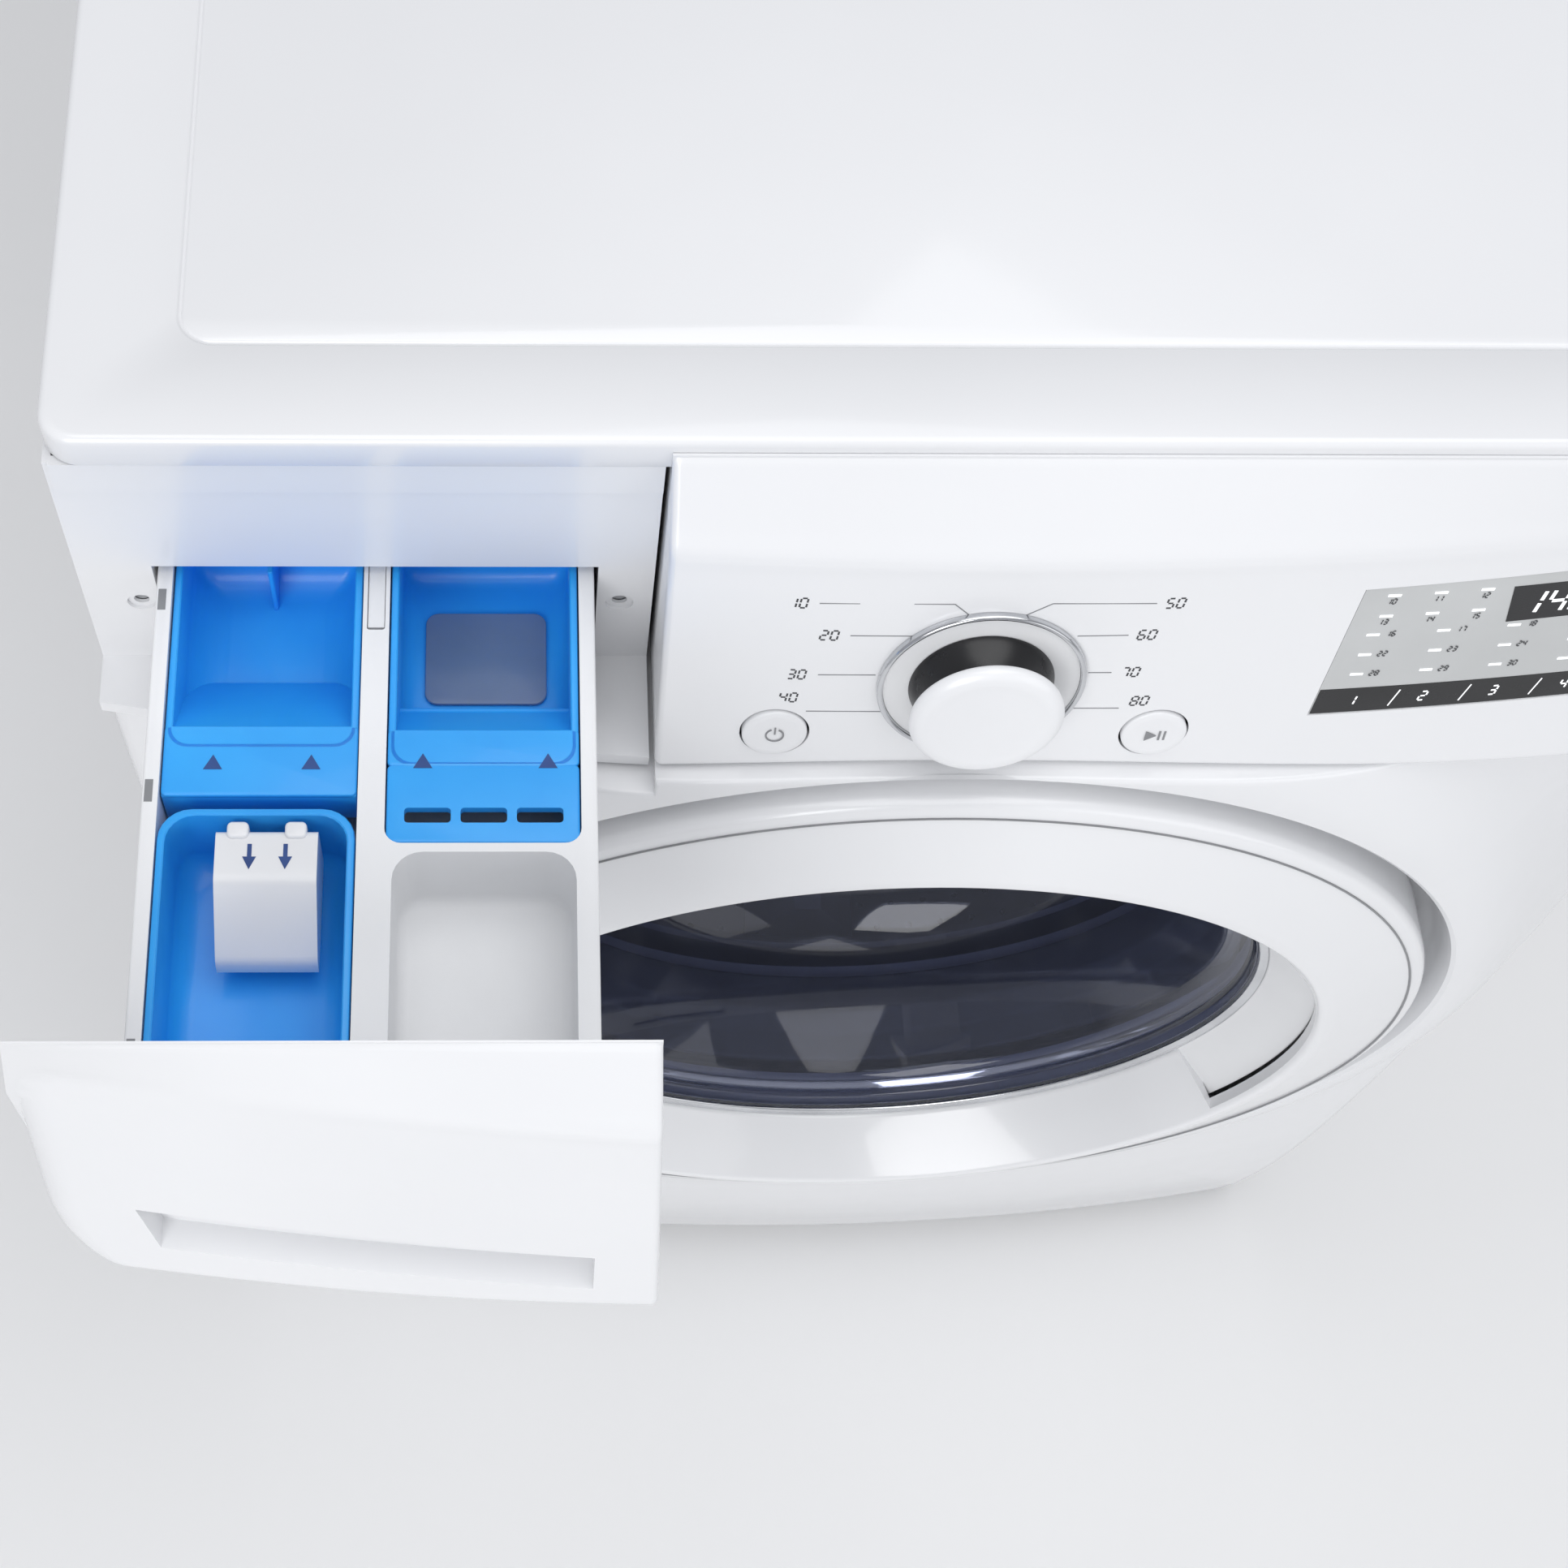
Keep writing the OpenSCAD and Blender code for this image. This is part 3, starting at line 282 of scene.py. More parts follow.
def make_piece(name, points, faces, slot, body, replaces=(), out=0.0, crease=35, thick=0.0,
               cuts=(), solid=True):
    """A finished piece: given its wall, cut, and smooth up to a crease angle."""
    piece = loose(points, faces, out, name, clean=True, solid=solid)
    if thick:
        shell = piece.modifiers.new("wall", "SOLIDIFY")
        shell.thickness, shell.offset = thick / 1000, -1
        bake(piece)
    for cutter in cuts:
        cut = piece.modifiers.new("cut", "BOOLEAN")
        cut.operation, cut.solver, cut.object = "DIFFERENCE", "EXACT", cutter
        bake(piece)
    for cutter in cuts:
        bpy.data.objects.remove(cutter)
    dress(piece, slot, body, replaces, crease)
    return piece


def dress(piece, slot, body, replaces=(), crease=35):
    """Shading, finish, body and the CAD nodes that a piece stands for."""
    piece.data.shade_smooth()
    piece.data.set_sharp_from_angle(angle=math.radians(crease))
    piece.data.materials.clear()
    piece.data.materials.append(MATERIALS[slot])
    for face in piece.data.polygons:
        face.material_index = 0
    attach(piece, body)
    if replaces:
        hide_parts(*replaces)
    return piece


def bake(piece):
    """Turns a piece's modifiers into its mesh."""
    graph = bpy.context.evaluated_depsgraph_get()
    graph.update()
    done = bpy.data.meshes.new_from_object(piece.evaluated_get(graph))
    piece.modifiers.clear()
    old = piece.data
    piece.data = done
    bpy.data.meshes.remove(old)


def cutter_box(lo, hi):
    """A sharp block that cuts a hole, gone once it has been used."""
    return loose(*block(lo, hi, 0.01, 0.01))


def grid_faces(rows, columns, wrap_rows=False, wrap_columns=False, start=0):
    """Quads over a grid of points that is stored row by row."""
    faces = []
    for i in range(rows if wrap_rows else rows - 1):
        for j in range(columns if wrap_columns else columns - 1):
            a, b = i * columns + j, i * columns + (j + 1) % columns
            c, d = ((i + 1) % rows) * columns + (j + 1) % columns, ((i + 1) % rows) * columns + j
            faces.append((start + a, start + b, start + c, start + d))
    return faces


def join(*parts):
    """Several (points, faces) as one."""
    points, faces = [], []
    for p, f in parts:
        faces += [tuple(i + len(points) for i in face) for face in f]
        points += [tuple(q) for q in p]
    return points, faces


def fillet(outline, radius, steps=4, closed=True):
    """Rounds the corners of an outline of 2-D points; radius is one value or one for each corner."""
    n = len(outline)
    radii = [radius] * n if isinstance(radius, (int, float)) else list(radius)
    result = []
    for i, corner in enumerate(outline):
        if not closed and i in (0, n - 1):
            result.append(tuple(corner))
            continue
        p, a, b = (np.array(q, float) for q in (corner, outline[i - 1], outline[(i + 1) % n]))
        u, v = a - p, b - p
        lu, lv = np.linalg.norm(u), np.linalg.norm(v)
        reach = min(radii[i], lu * 0.45, lv * 0.45)
        if reach < 1e-3:
            result.append(tuple(corner))
            continue
        start, end = p + u / lu * reach, p + v / lv * reach
        for k in range(steps + 1):
            t = k / steps
            result.append(tuple((1 - t) ** 2 * start + 2 * t * (1 - t) * p + t * t * end))
    return result


def turned(profile, steps=128, arc=None):
    """A closed profile of (radius, y) turned about the door's axis, all round or over an arc."""
    if arc is None:
        angles = np.linspace(0, 2 * math.pi, steps, endpoint=False)
    else:
        angles = np.linspace(*arc, steps)
    points = [(r * math.cos(a), y, AXIS_Z + r * math.sin(a)) for a in angles for r, y in profile]
    faces = grid_faces(len(angles), len(profile), wrap_rows=arc is None, wrap_columns=True)
    if arc is not None:
        n = len(profile)
        faces += [tuple(range(n)), tuple(range((len(angles) - 1) * n, len(angles) * n))]
    return points, faces


def ring(x0, x1, y0, y1, r, z, steps=6):
    """A rounded rectangle of points at one height."""
    r = max(min(r, (x1 - x0) / 2 - 0.01, (y1 - y0) / 2 - 0.01), 0.01)
    points = []
    corners = ((x1 - r, y1 - r, 0), (x0 + r, y1 - r, 90), (x0 + r, y0 + r, 180), (x1 - r, y0 + r, 270))
    for cx, cy, start in corners:
        for k in range(steps + 1):
            a = math.radians(start + 90 * k / steps)
            points.append((cx + r * math.cos(a), cy + r * math.sin(a), z))
    return points


def stack(rings, cap_first=True, cap_last=True):
    """A skin over rings that have the same number of points, closed at its ends."""
    n = len(rings[0])
    points = [p for one in rings for p in one]
    faces = grid_faces(len(rings), n, wrap_columns=True)
    if cap_first:
        faces.append(tuple(range(n)))
    if cap_last:
        faces.append(tuple(range((len(rings) - 1) * n, len(rings) * n)))
    return points, faces


def inset(box, d):
    """A box of (x0, x1, y0, y1) with every side moved in by d."""
    return box[0] + d, box[1] - d, box[2] + d, box[3] - d


def block(lo, hi, r, edge):
    """A block with round upright corners and softened edges."""
    box = (lo[0], hi[0], lo[1], hi[1])
    bends = [(1, 0), (0.45, 0.12), (0.12, 0.45), (0, 1)]
    rings = [ring(*inset(box, edge * a), r - edge * a, lo[2] + edge * b) for a, b in bends]
    rings += [ring(*inset(box, edge * a), r - edge * a, hi[2] - edge * b) for a, b in bends[::-1]]
    return stack(rings)


def cup(lo, hi, wall, r, foot, edge=1.2):
    """An open cup with a soft rim, and a wide bend between wall and floor inside."""
    box, z0, z1 = (lo[0], hi[0], lo[1], hi[1]), lo[2], hi[2]
    rings = [ring(*inset(box, 3), r - 2, z0), ring(*inset(box, 1), r - 1, z0 + 0.8),
             ring(*box, r, z0 + 3), ring(*box, r, z1 - edge)]
    rings += [ring(*inset(box, edge * 0.3), r, z1 - edge * 0.3), ring(*inset(box, edge), r - 0.5, z1)]
    inner = inset(box, wall)
    rings += [ring(*inset(inner, -edge * 0.5), r - wall * 0.4, z1),
              ring(*inset(inner, -edge * 0.1), r - wall * 0.5, z1 - edge * 0.4),
              ring(*inner, r - wall * 0.5, z1 - edge * 1.3)]
    floor = z0 + wall
    for a, b in ((0, 1), (0.08, 0.62), (0.30, 0.30), (0.62, 0.08), (1, 0)):
        corner = max(r - wall - foot * a * 0.3, 1.5)
        rings.append(ring(*inset(inner, foot * a), corner, floor + foot * b))
    return stack(rings)


def spread(lo, hi, count, edge):
    """Positions from lo to hi, close together at the two ends to carry a rounded edge."""
    near = [0, 0.06 * edge, 0.2 * edge, 0.45 * edge, 0.75 * edge, 1.1 * edge]
    middle = np.linspace(lo + 1.4 * edge, hi - 1.4 * edge, count)
    return np.array([lo + a for a in near] + list(middle) + [hi - a for a in near[::-1]])


def roll_off(d, edge):
    """How far a rounded edge falls back at a distance d inside it."""
    d = np.clip(d, 0, edge)
    return edge - np.sqrt(np.maximum(edge * edge - (edge - d) ** 2, 0))


def bow(x):
    """How far the bowed front falls back at x from the middle."""
    return BOW_R - np.sqrt(BOW_R * BOW_R - np.square(x))


def smooth(t):
    """An even rise from 0 to 1, level at both ends."""
    t = np.clip(t, 0, 1)
    return t * t * (3 - 2 * t)


def face_y(x, z):
    """The leaning face that control panel and drawer share, with its soft crease and chamfered top."""
    lean = FACE_BOTTOM[0] + (z - FACE_BOTTOM[1]) * FACE_SLOPE + bow(x)
    crease = FACE_CREASE[0] + bow(x)
    top = np.maximum(FACE_TOP[0], crease)
    slant = crease + (z - FACE_CREASE[1]) / (FACE_TOP[1] - FACE_CREASE[1]) * (top - crease)
    t = smooth((z - FACE_CREASE[1]) / (2 * CREASE_BLEND) + 0.5)
    return np.minimum(lean * (1 - t) + slant * t, FACE_TOP[0])


def arch(x):
    """Height of the face's lower edge, which arches over the door."""
    return np.interp(x, [p[0] for p in ARCH], [p[1] for p in ARCH])


def face_top(x):
    """Height of the face's upper edge, which is level."""
    return FACE_TOP[1]


def smooth_arch(x):
    """The arched edge with its corners averaged away."""
    return sum(arch(x + s) for s in (-36, -24, -12, 0, 12, 24, 36)) / 7


def hem(points, rows, columns, back_y):
    """Adds a wall from the rim of a grid back to back_y(x, z)."""
    rim = ([(0, j) for j in range(columns)] + [(i, columns - 1) for i in range(1, rows)]
           + [(rows - 1, j) for j in range(columns - 2, -1, -1)] + [(i, 0) for i in range(rows - 2, 0, -1)])
    start = len(points)
    faces = []
    for i, j in rim:
        x, y, z = points[i * columns + j]
        points.append((x, max(back_y(x, z), y + 0.5), z))
    for k, (i, j) in enumerate(rim):
        i2, j2 = rim[(k + 1) % len(rim)]
        faces.append((i2 * columns + j2, i * columns + j, start + k, start + (k + 1) % len(rim)))
    return faces


def face_shell(ends, bottom, top, back_y, limit, left_edge, right_edge, edge=2.5, across=90, up=70):
    """A shell over the leaning face between ends(z), with rounded edges and walls back to back_y.

    No point lies further back than limit(x, z).
    """
    widest = ends(0)
    columns = np.concatenate([spread(*widest, across, left_edge), spread(*widest, 4, right_edge)])
    share = (np.unique(columns) - widest[0]) / (widest[1] - widest[0])
    levels = spread(0, 1, up, 0.018)
    points = []
    for k in levels:
        for u in share:
            x = widest[0] + u * (widest[1] - widest[0])
            z0, z1 = bottom(x), top(x)
            z = z0 + k * (z1 - z0)
            x0, x1 = ends(z)
            x = x0 + u * (x1 - x0)
            y = face_y(x, z) + roll_off(x - x0, left_edge) + roll_off(x1 - x, right_edge)
            y += roll_off(min(z - z0, z1 - z), edge)
            points.append((x, min(float(y), limit(x, z)), z))
    faces = grid_faces(len(levels), len(share))
    faces += hem(points, len(levels), len(share), back_y)
    return points, faces


# ---------------------------------------------------------------- repeated pieces

def stud_tree():
    """Geometry Nodes: one turned stud at every point, standing along the point's own direction."""
    tree = bpy.data.node_groups.new("studs", "GeometryNodeTree")
    sockets = tree.interface
    sockets.new_socket("Geometry", in_out="INPUT", socket_type="NodeSocketGeometry")
    for label, kind in (("Base Radius", "NodeSocketFloat"), ("Top Radius", "NodeSocketFloat"),
                        ("Height", "NodeSocketFloat"), ("Sides", "NodeSocketInt"),
                        ("Finish", "NodeSocketMaterial")):
        sockets.new_socket(label, in_out="INPUT", socket_type=kind)
    sockets.new_socket("Geometry", in_out="OUTPUT", socket_type="NodeSocketGeometry")
    new, link = tree.nodes.new, tree.links.new
    start, end = new("NodeGroupInput"), new("NodeGroupOutput")
    cone = new("GeometryNodeMeshCone")
    link(start.outputs["Sides"], cone.inputs["Vertices"])
    link(start.outputs["Top Radius"], cone.inputs["Radius Top"])
    link(start.outputs["Base Radius"], cone.inputs["Radius Bottom"])
    link(start.outputs["Height"], cone.inputs["Depth"])
    facing = new("GeometryNodeInputNamedAttribute")
    facing.data_type = "FLOAT_VECTOR"
    facing.inputs["Name"].default_value = "facing"
    align = new("FunctionNodeAlignRotationToVector")
    align.axis = "Z"
    link(facing.outputs["Attribute"], align.inputs["Vector"])
    scatter = new("GeometryNodeInstanceOnPoints")
    link(start.outputs["Geometry"], scatter.inputs["Points"])
    link(cone.outputs["Mesh"], scatter.inputs["Instance"])
    link(align.outputs["Rotation"], scatter.inputs["Rotation"])
    real = new("GeometryNodeRealizeInstances")
    paint = new("GeometryNodeSetMaterial")
    link(scatter.outputs["Instances"], real.inputs["Geometry"])
    link(real.outputs["Geometry"], paint.inputs["Geometry"])
    link(start.outputs["Finish"], paint.inputs["Material"])
    link(paint.outputs["Geometry"], end.inputs["Geometry"])
    return tree


STUDS = stud_tree()


def studs(name, spots, slot, body, base, top, height, sides=20, out=0.0, crease=35):
    """Studs, screw heads, or dark discs that paint in the shade of holes, at (point, direction) spots, made by the
    studs tree.
    """
    mesh = bpy.data.meshes.new(name)
    mesh.from_pydata(place([p for p, d in spots], out), [], [])
    mesh.attributes.new("facing", "FLOAT_VECTOR", "POINT").data.foreach_set(
        "vector", np.array([d for p, d in spots], np.float32).ravel())
    piece = add_object(name, mesh)
    modifier = piece.modifiers.new("studs", "NODES")
    modifier.node_group = STUDS
    values = {"Base Radius": base / 1000, "Top Radius": top / 1000, "Height": height / 1000,
              "Sides": sides, "Finish": MATERIALS[slot]}
    for item in STUDS.interface.items_tree:
        if item.in_out == "INPUT" and item.name in values:
            modifier[item.identifier] = values[item.name]
    bake(piece)
    return dress(piece, slot, body, (), crease)


# ---------------------------------------------------------------- printing on the face

def thin_print(name, shapes, slot, body, at, thick, out=0.0):
    """Thin printed shapes: at(u, v, lift) gives the place of an outline's point."""
    points, faces = [], []
    for shape in shapes:
        start, n = len(points), len(shape)
        for lift in (thick, 0.0):
            points += [at(u, v, lift) for u, v in shape]
        faces.append(tuple(range(start, start + n)))
        faces.append(tuple(range(start + 2 * n - 1, start + n - 1, -1)))
        for k in range(n):
            after = (k + 1) % n
            faces.append((start + k, start + after, start + n + after, start + n + k))
    return make_piece(name, points, faces, slot, body, out=out, crease=30)


def printed(name, shapes, slot, body, surface, thick=0.12):
    """Print laid on a surface y(x, z)."""
    return thin_print(name, shapes, slot, body, lambda x, z, lift: (x, float(surface(x, z)) - lift, z), thick)


def flat_print(name, shapes, z, slot, body, out=0.0, thick=0.15):
    """Print lying on a level surface."""
    return thin_print(name, shapes, slot, body, lambda x, y, lift: (x, y, z + lift), thick, out)


def bar(x0, z0, x1, z1, width):
    """A straight stroke as an outline."""
    d = np.array([x1 - x0, z1 - z0], float)
    side = np.array([-d[1], d[0]]) / np.linalg.norm(d) * width / 2
    a, b = np.array([x0, z0]), np.array([x1, z1])
    return [tuple(a - side), tuple(b - side), tuple(b + side), tuple(a + side)]


def arc_strokes(cx, cz, r, a0, a1, width, steps=22):
    """Short strokes along an arc from a0 to a1 degrees."""
    angles = np.radians(np.linspace(a0, a1, steps))
    spots = [(cx + r * math.cos(a), cz + r * math.sin(a)) for a in angles]
    return [bar(*spots[k], *spots[k + 1], width) for k in range(len(spots) - 1)]


# Which of a digit's seven strokes each number lights, from the top one clockwise, the middle one last
SEGMENTS = {"0": "abcdef", "1": "bc", "2": "abged", "3": "abgcd", "4": "fgbc", "5": "afgcd",
            "6": "afgedc", "7": "abc", "8": "abcdefg", "9": "abcfgd"}


def digit(mark, x, z, w, h, stroke, slant=0.12):
    """A number drawn with seven strokes, its lower left corner at (x, z)."""
    g = stroke * 0.55
    lines = {"a": (g, h, w - g, h), "b": (w, h - g, w, h / 2 + g), "c": (w, h / 2 - g, w, g),
             "d": (g, 0, w - g, 0), "e": (0, h / 2 - g, 0, g), "f": (0, h - g, 0, h / 2 + g),
             "g": (g, h / 2, w - g, h / 2)}
    shapes = []
    for name in SEGMENTS[mark]:
        ax, az, bx, bz = lines[name]
        shapes.append(bar(x + ax + az * slant, z + az, x + bx + bz * slant, z + bz, stroke))
    return shapes


def number(text, x, z, h, stroke=None):
    """A row of digits with its lower left corner at (x, z)."""
    shapes = []
    for k, mark in enumerate(text):
        shapes += digit(mark, x + k * h * 0.78, z, h * 0.5, h, stroke or h * 0.13)
    return shapes


# ---------------------------------------------------------------- local frames and patches

LEAN = math.atan(FACE_SLOPE)
OUTWARD = np.array([0, -math.cos(LEAN), math.sin(LEAN)])
UPWARD = np.array([0, math.sin(LEAN), math.cos(LEAN)])


def on_face(profile, x, z, steps=72):
    """A closed profile of (radius, height) turned about the face's normal at (x, z)."""
    lean = FACE_BOTTOM[0] + (z - FACE_BOTTOM[1]) * FACE_SLOPE + float(bow(x))
    centre = np.array([x, lean, z])
    points = [tuple(centre + r * math.cos(a) * np.array([1, 0, 0]) + r * math.sin(a) * UPWARD + h * OUTWARD)
              for a in np.linspace(0, 2 * math.pi, steps, endpoint=False) for r, h in profile]
    return points, grid_faces(steps, len(profile), True, True)


def patch(corners, surface, thick, columns=24, rows=6):
    """A thin plate between four (x, z) corners: bottom left, bottom right, top right, top left."""
    bl, br, tr, tl = (np.array(c, float) for c in corners)
    points = []
    for back in (0, thick):
        for v in np.linspace(0, 1, rows):
            for u in np.linspace(0, 1, columns):
                x, z = (1 - v) * ((1 - u) * bl + u * br) + v * ((1 - u) * tl + u * tr)
                points.append((x, float(surface(x, z)) + back, z))
    front = grid_faces(rows, columns)
    back = [tuple(i + rows * columns for i in reversed(f)) for f in front]
    rim = ([j for j in range(columns)] + [i * columns + columns - 1 for i in range(1, rows)]
           + [(rows - 1) * columns + j for j in range(columns - 2, -1, -1)]
           + [i * columns for i in range(rows - 2, 0, -1)])
    n = rows * columns
    side = [(b, a, a + n, b + n) for a, b in zip(rim, rim[1:] + rim[:1])]
    return points, front + back + side


def ramp(x_range, profile):
    """A bar of one (y, z) profile from one x to another, its edges softened."""
    outline = fillet(profile, 2.5, 3)
    points = [(x, y, z) for x in x_range for y, z in outline]
    n = len(outline)
    return points, grid_faces(2, n, wrap_columns=True) + [tuple(range(n)), tuple(range(n, 2 * n))]


# ---------------------------------------------------------------- worktop and front

def worktop():
    """Plate with a rolled edge and a shallow groove that frames its middle."""
    roll = 3.2

    def level(side, front, r, z):
        return ring(-HALF_W + side, HALF_W - side, -2 + front, DEPTH - side, r, z, 10)

    rings = [level(2, 2, 12, PLATE_Z), level(0.4, 0.4, 13.6, PLATE_Z + 0.4), level(0, 0, 14, PLATE_Z + 1.5)]
    for a in np.radians(np.linspace(0, 90, 6)):
        back = roll * (1 - math.cos(a))
        rings.append(level(back, back, 14, TOP_Z - roll + roll * math.sin(a)))
    for side, drop in ((46, 0), (46.5, 0.25), (47, 0.8), (48, 0.8), (48.5, 0.25), (49, 0)):
        rings.append(level(side, side - 6, 14 - (side - 46), TOP_Z - drop))
    points, faces = stack(rings)
    make_piece("top_plate_visual", points, faces, "white_enamel", "root", ["top_plate"], crease=40)


def front_outline_radius(angle):
    """Distance from the door's axis to the front panel's outline in a direction."""
    near, far = RECESS_R, 700.0
    for _ in range(24):
        r = (near + far) / 2
        x, z = r * math.cos(angle), AXIS_Z + r * math.sin(angle)
        top = (smooth_arch(x) - 2) if x > DRAWER_SIDE_X else BELOW_DRAWER_Z
        if abs(x) < HALF_W and PANEL_FOOT_Z < z < top:
            near = r
        else:
            far = r
    return near


def front_panel_y(x, z):
    """The bowed front with its slow curve in height, drawn forward to the rim round the door."""
    heights = [p[1] for p in FRONT_PROFILE]
    depths = [p[0] for p in FRONT_PROFILE]
    y = np.mean([np.interp(z + s, heights, depths) for s in (-40, -24, -8, 8, 24, 40)]) + bow(x)
    r = math.hypot(x, z - AXIS_Z)
    fade = 1 - smooth((r - DISH_R) / (DISH_END_R - DISH_R))
    return float(y + (min(DISH_Y, y) - y) * fade)


def front_panel():
    """Sheet from the door's recess out to the machine's edges, turned back at its rim."""
    angles = set(np.linspace(-math.pi, math.pi, 241)[:-1])
    corners = ((-HALF_W, PANEL_FOOT_Z), (HALF_W, PANEL_FOOT_Z), (HALF_W, 813), (-HALF_W, BELOW_DRAWER_Z),
               (DRAWER_SIDE_X, BELOW_DRAWER_Z), (DRAWER_SIDE_X, 826))
    for x, z in corners:
        angles.add(math.atan2(z - AXIS_Z, x))
    angles = sorted(angles)
    recess = [(201, -27), (202.5, -29), (255, -29), (264, -30), (269, -33), (272, -38), (273.6, -46),
              (274.6, -54), (276, -57.6), (278, -59)]
    recess_rim = recess[-1][0]
    share = np.array([0.04, 0.09, 0.15, 0.22, 0.3, 0.4, 0.5, 0.6, 0.7, 0.8, 0.88, 0.93, 0.96, 0.98, 0.99,
                      1.0])
    points = []
    for a in angles:
        limit = front_outline_radius(a)
        for r, y in recess:
            points.append((r * math.cos(a), y, AXIS_Z + r * math.sin(a)))
        for r in recess_rim + (limit - recess_rim) * share:
            x, z = r * math.cos(a), AXIS_Z + r * math.sin(a)
            y = front_panel_y(x, z) + float(roll_off(HALF_W - abs(x), 9)) + float(roll_off(limit - r, 2))
            points.append((x, y, z))
        points.append((x, 20, z))
    faces = grid_faces(len(angles), len(recess) + len(share) + 1, wrap_rows=True)
    x0, x1, z0, z1 = FILTER_DOOR
    filter_hole = cutter_box((x0 - 0.5, -80, z0 - 0.5), (x1 + 0.5, 60, z1 + 0.5))
    latch_hole = cutter_box((218, -40, AXIS_Z - 16), (252, 0, AXIS_Z + 16))
    hinge_hole = cutter_box((-281, -80, AXIS_Z - 36), (-253, 5, AXIS_Z + 36))
    make_piece("front_panel_visual", points, faces, "white_enamel", "root", ["front_panel"], thick=1.2,
               solid=False, crease=32, cuts=[filter_hole, latch_hole, hinge_hole])


def filter_door():
    """Cover over the drain filter, curved like the panel round it."""
    x0, x1, z0, z1 = FILTER_DOOR
    points, faces = patch([(x0, z0), (x1, z0), (x1, z1), (x0, z1)], front_panel_y, 2.4, 18, 12)
    make_piece("filter_door_visual", points, faces, "white_plastic", "filter_door", ["filter_door"])


def button_hole(x, z, r, depth=3.0):
    """A cutter along the face's normal, from depth behind the face to well in front of it."""
    return loose(*stack([on_face([(r, h)], x, z, 48)[0] for h in (-depth, 40)]))


def display_cutter():
    """A cutter that sinks the display's place in the face."""
    corners = [(131, 859), (304, 859), (304, 935), (134, 929)]
    return loose(*patch(corners, lambda x, z: face_y(x, z) - 12, 13.3))


def control_panel():
    """The fixed part of the leaning face, with holes for its buttons and a sunk display."""
    def ends(z):
        return SPLIT_X + 1, HALF_W

    def back_y(x, z):
        return -2.2 if z > PLATE_Z - 1 else 20.0

    def limit(x, z):
        return -3.2 if z > PLATE_Z - 3 else 16.0

    points, faces = face_shell(ends, smooth_arch, face_top, back_y, limit, left_edge=3.0, right_edge=12.0,
                               edge=3.0, across=110, up=60)
    cuts = [button_hole(x, z, BUTTON_R + 0.2) for x, z in BUTTONS.values()] + [display_cutter()]
    make_piece("control_panel_visual", points, faces, "white_enamel", "root", ["control_panel"], thick=2.5,
               solid=False, cuts=cuts, crease=30)


def knob():
    """Programme knob: chrome ring, pale plate, dark neck and a crowned cap."""
    x, z = KNOB
    rim = fillet([(37.2, 0), (39.5, 0), (39.5, 2.2), (38.9, 3), (37.8, 3), (37.2, 2.2)], 0.5, 3)
    make_piece("knob_ring_visual", *on_face(rim, x, z, 96), "chrome_trim", "root", ["knob_ring"])
    plate = [(9, 0.1), (37.1, 0.1), (37.1, 1.2), (30, 0.9), (9, 0.9)]
    make_piece("knob_well", *on_face(plate, x, z, 96), "matt_white_plastic", "root")
    neck = [(0.01, 1.3), (27.5, 1.3), (27.3, 2.2), (26.0, 4.4), (24.2, 8), (22.6, 12), (21.8, 15.2),
            (0.01, 15.2)]
    make_piece("knob_neck_visual", *on_face(neck, x, z, 96), "dark_plastic", "knob", ["knob_neck"])
    cap = fillet([(0.01, 15.3), (26.5, 15.3), (29, 16.4), (29, 19.2), (26.6, 21.4), (23.5, 21.9), (20, 21.6),
                  (0.01, 21.3)], [0, 1, 1.4, 1.6, 1.8, 1.4, 2, 0], 4)
    make_piece("knob_cap_visual", *on_face(cap, x, z, 96), "white_plastic", "knob", ["knob_cap"])


def buttons():
    """The power and start buttons with their marks."""
    outline = [(0.01, -2.8), (12.7, -2.8), (12.7, 1.1), (10.5, 1.6), (0.01, 1.2)]
    shape = fillet(outline, [0, 0, 0.8, 1.5, 0], 4)
    for name, (x, z) in BUTTONS.items():
        make_piece(name + "_visual", *on_face(shape, x, z, 56), "white_plastic", name, [name])
    power, start = BUTTONS["power_button"], BUTTONS["start_button"]

    def crown(x, z):
        return face_y(x, z) - 1.5

    marks = arc_strokes(*power, 3.4, 115, 425, 0.6)
    marks.append(bar(power[0], power[1] + 0.6, power[0], power[1] + 4.4, 0.6))
    printed("power_mark", marks, "grey_print", "power_button", crown, thick=0.3)
    sx, sz = start[0] - 3.5, start[1]
    marks = [[(sx, sz - 2.6), (sx + 4.4, sz), (sx, sz + 2.6)]]
    marks += [bar(sx + along, sz - 2.5, sx + along, sz + 2.5, 0.8) for along in (5.6, 7.6)]
    printed("start_mark", marks, "grey_print", "start_button", crown, thick=0.3)


# For each side of the knob, from the top down: a leader line's points and its number's corner
DIAL_ROWS = {
    -1: [([(-65.8, 925.6), (-16.5, 926.4), (-10.3, 920.6)], (-77, 923)),
         ([(-52.7, 908.8), (-29.3, 909.2)], (-64, 906.2)),
         ([(-62.5, 886.8), (-40.8, 887.4)], (-74, 884.2)),
         ([(-65, 865.8), (-35.5, 866.5)], (-76, 871))],
    1: [([(57.5, 926.1), (19.3, 926.8), (10.2, 920.6)], (61, 923.5)),
        ([(31.5, 909.3), (50.5, 909.3)], (54, 906.8)),
        ([(39.4, 888.9), (48.3, 888.7)], (52, 886.2)),
        ([(35.1, 868.5), (55.3, 868)], (59, 869.5))],
}


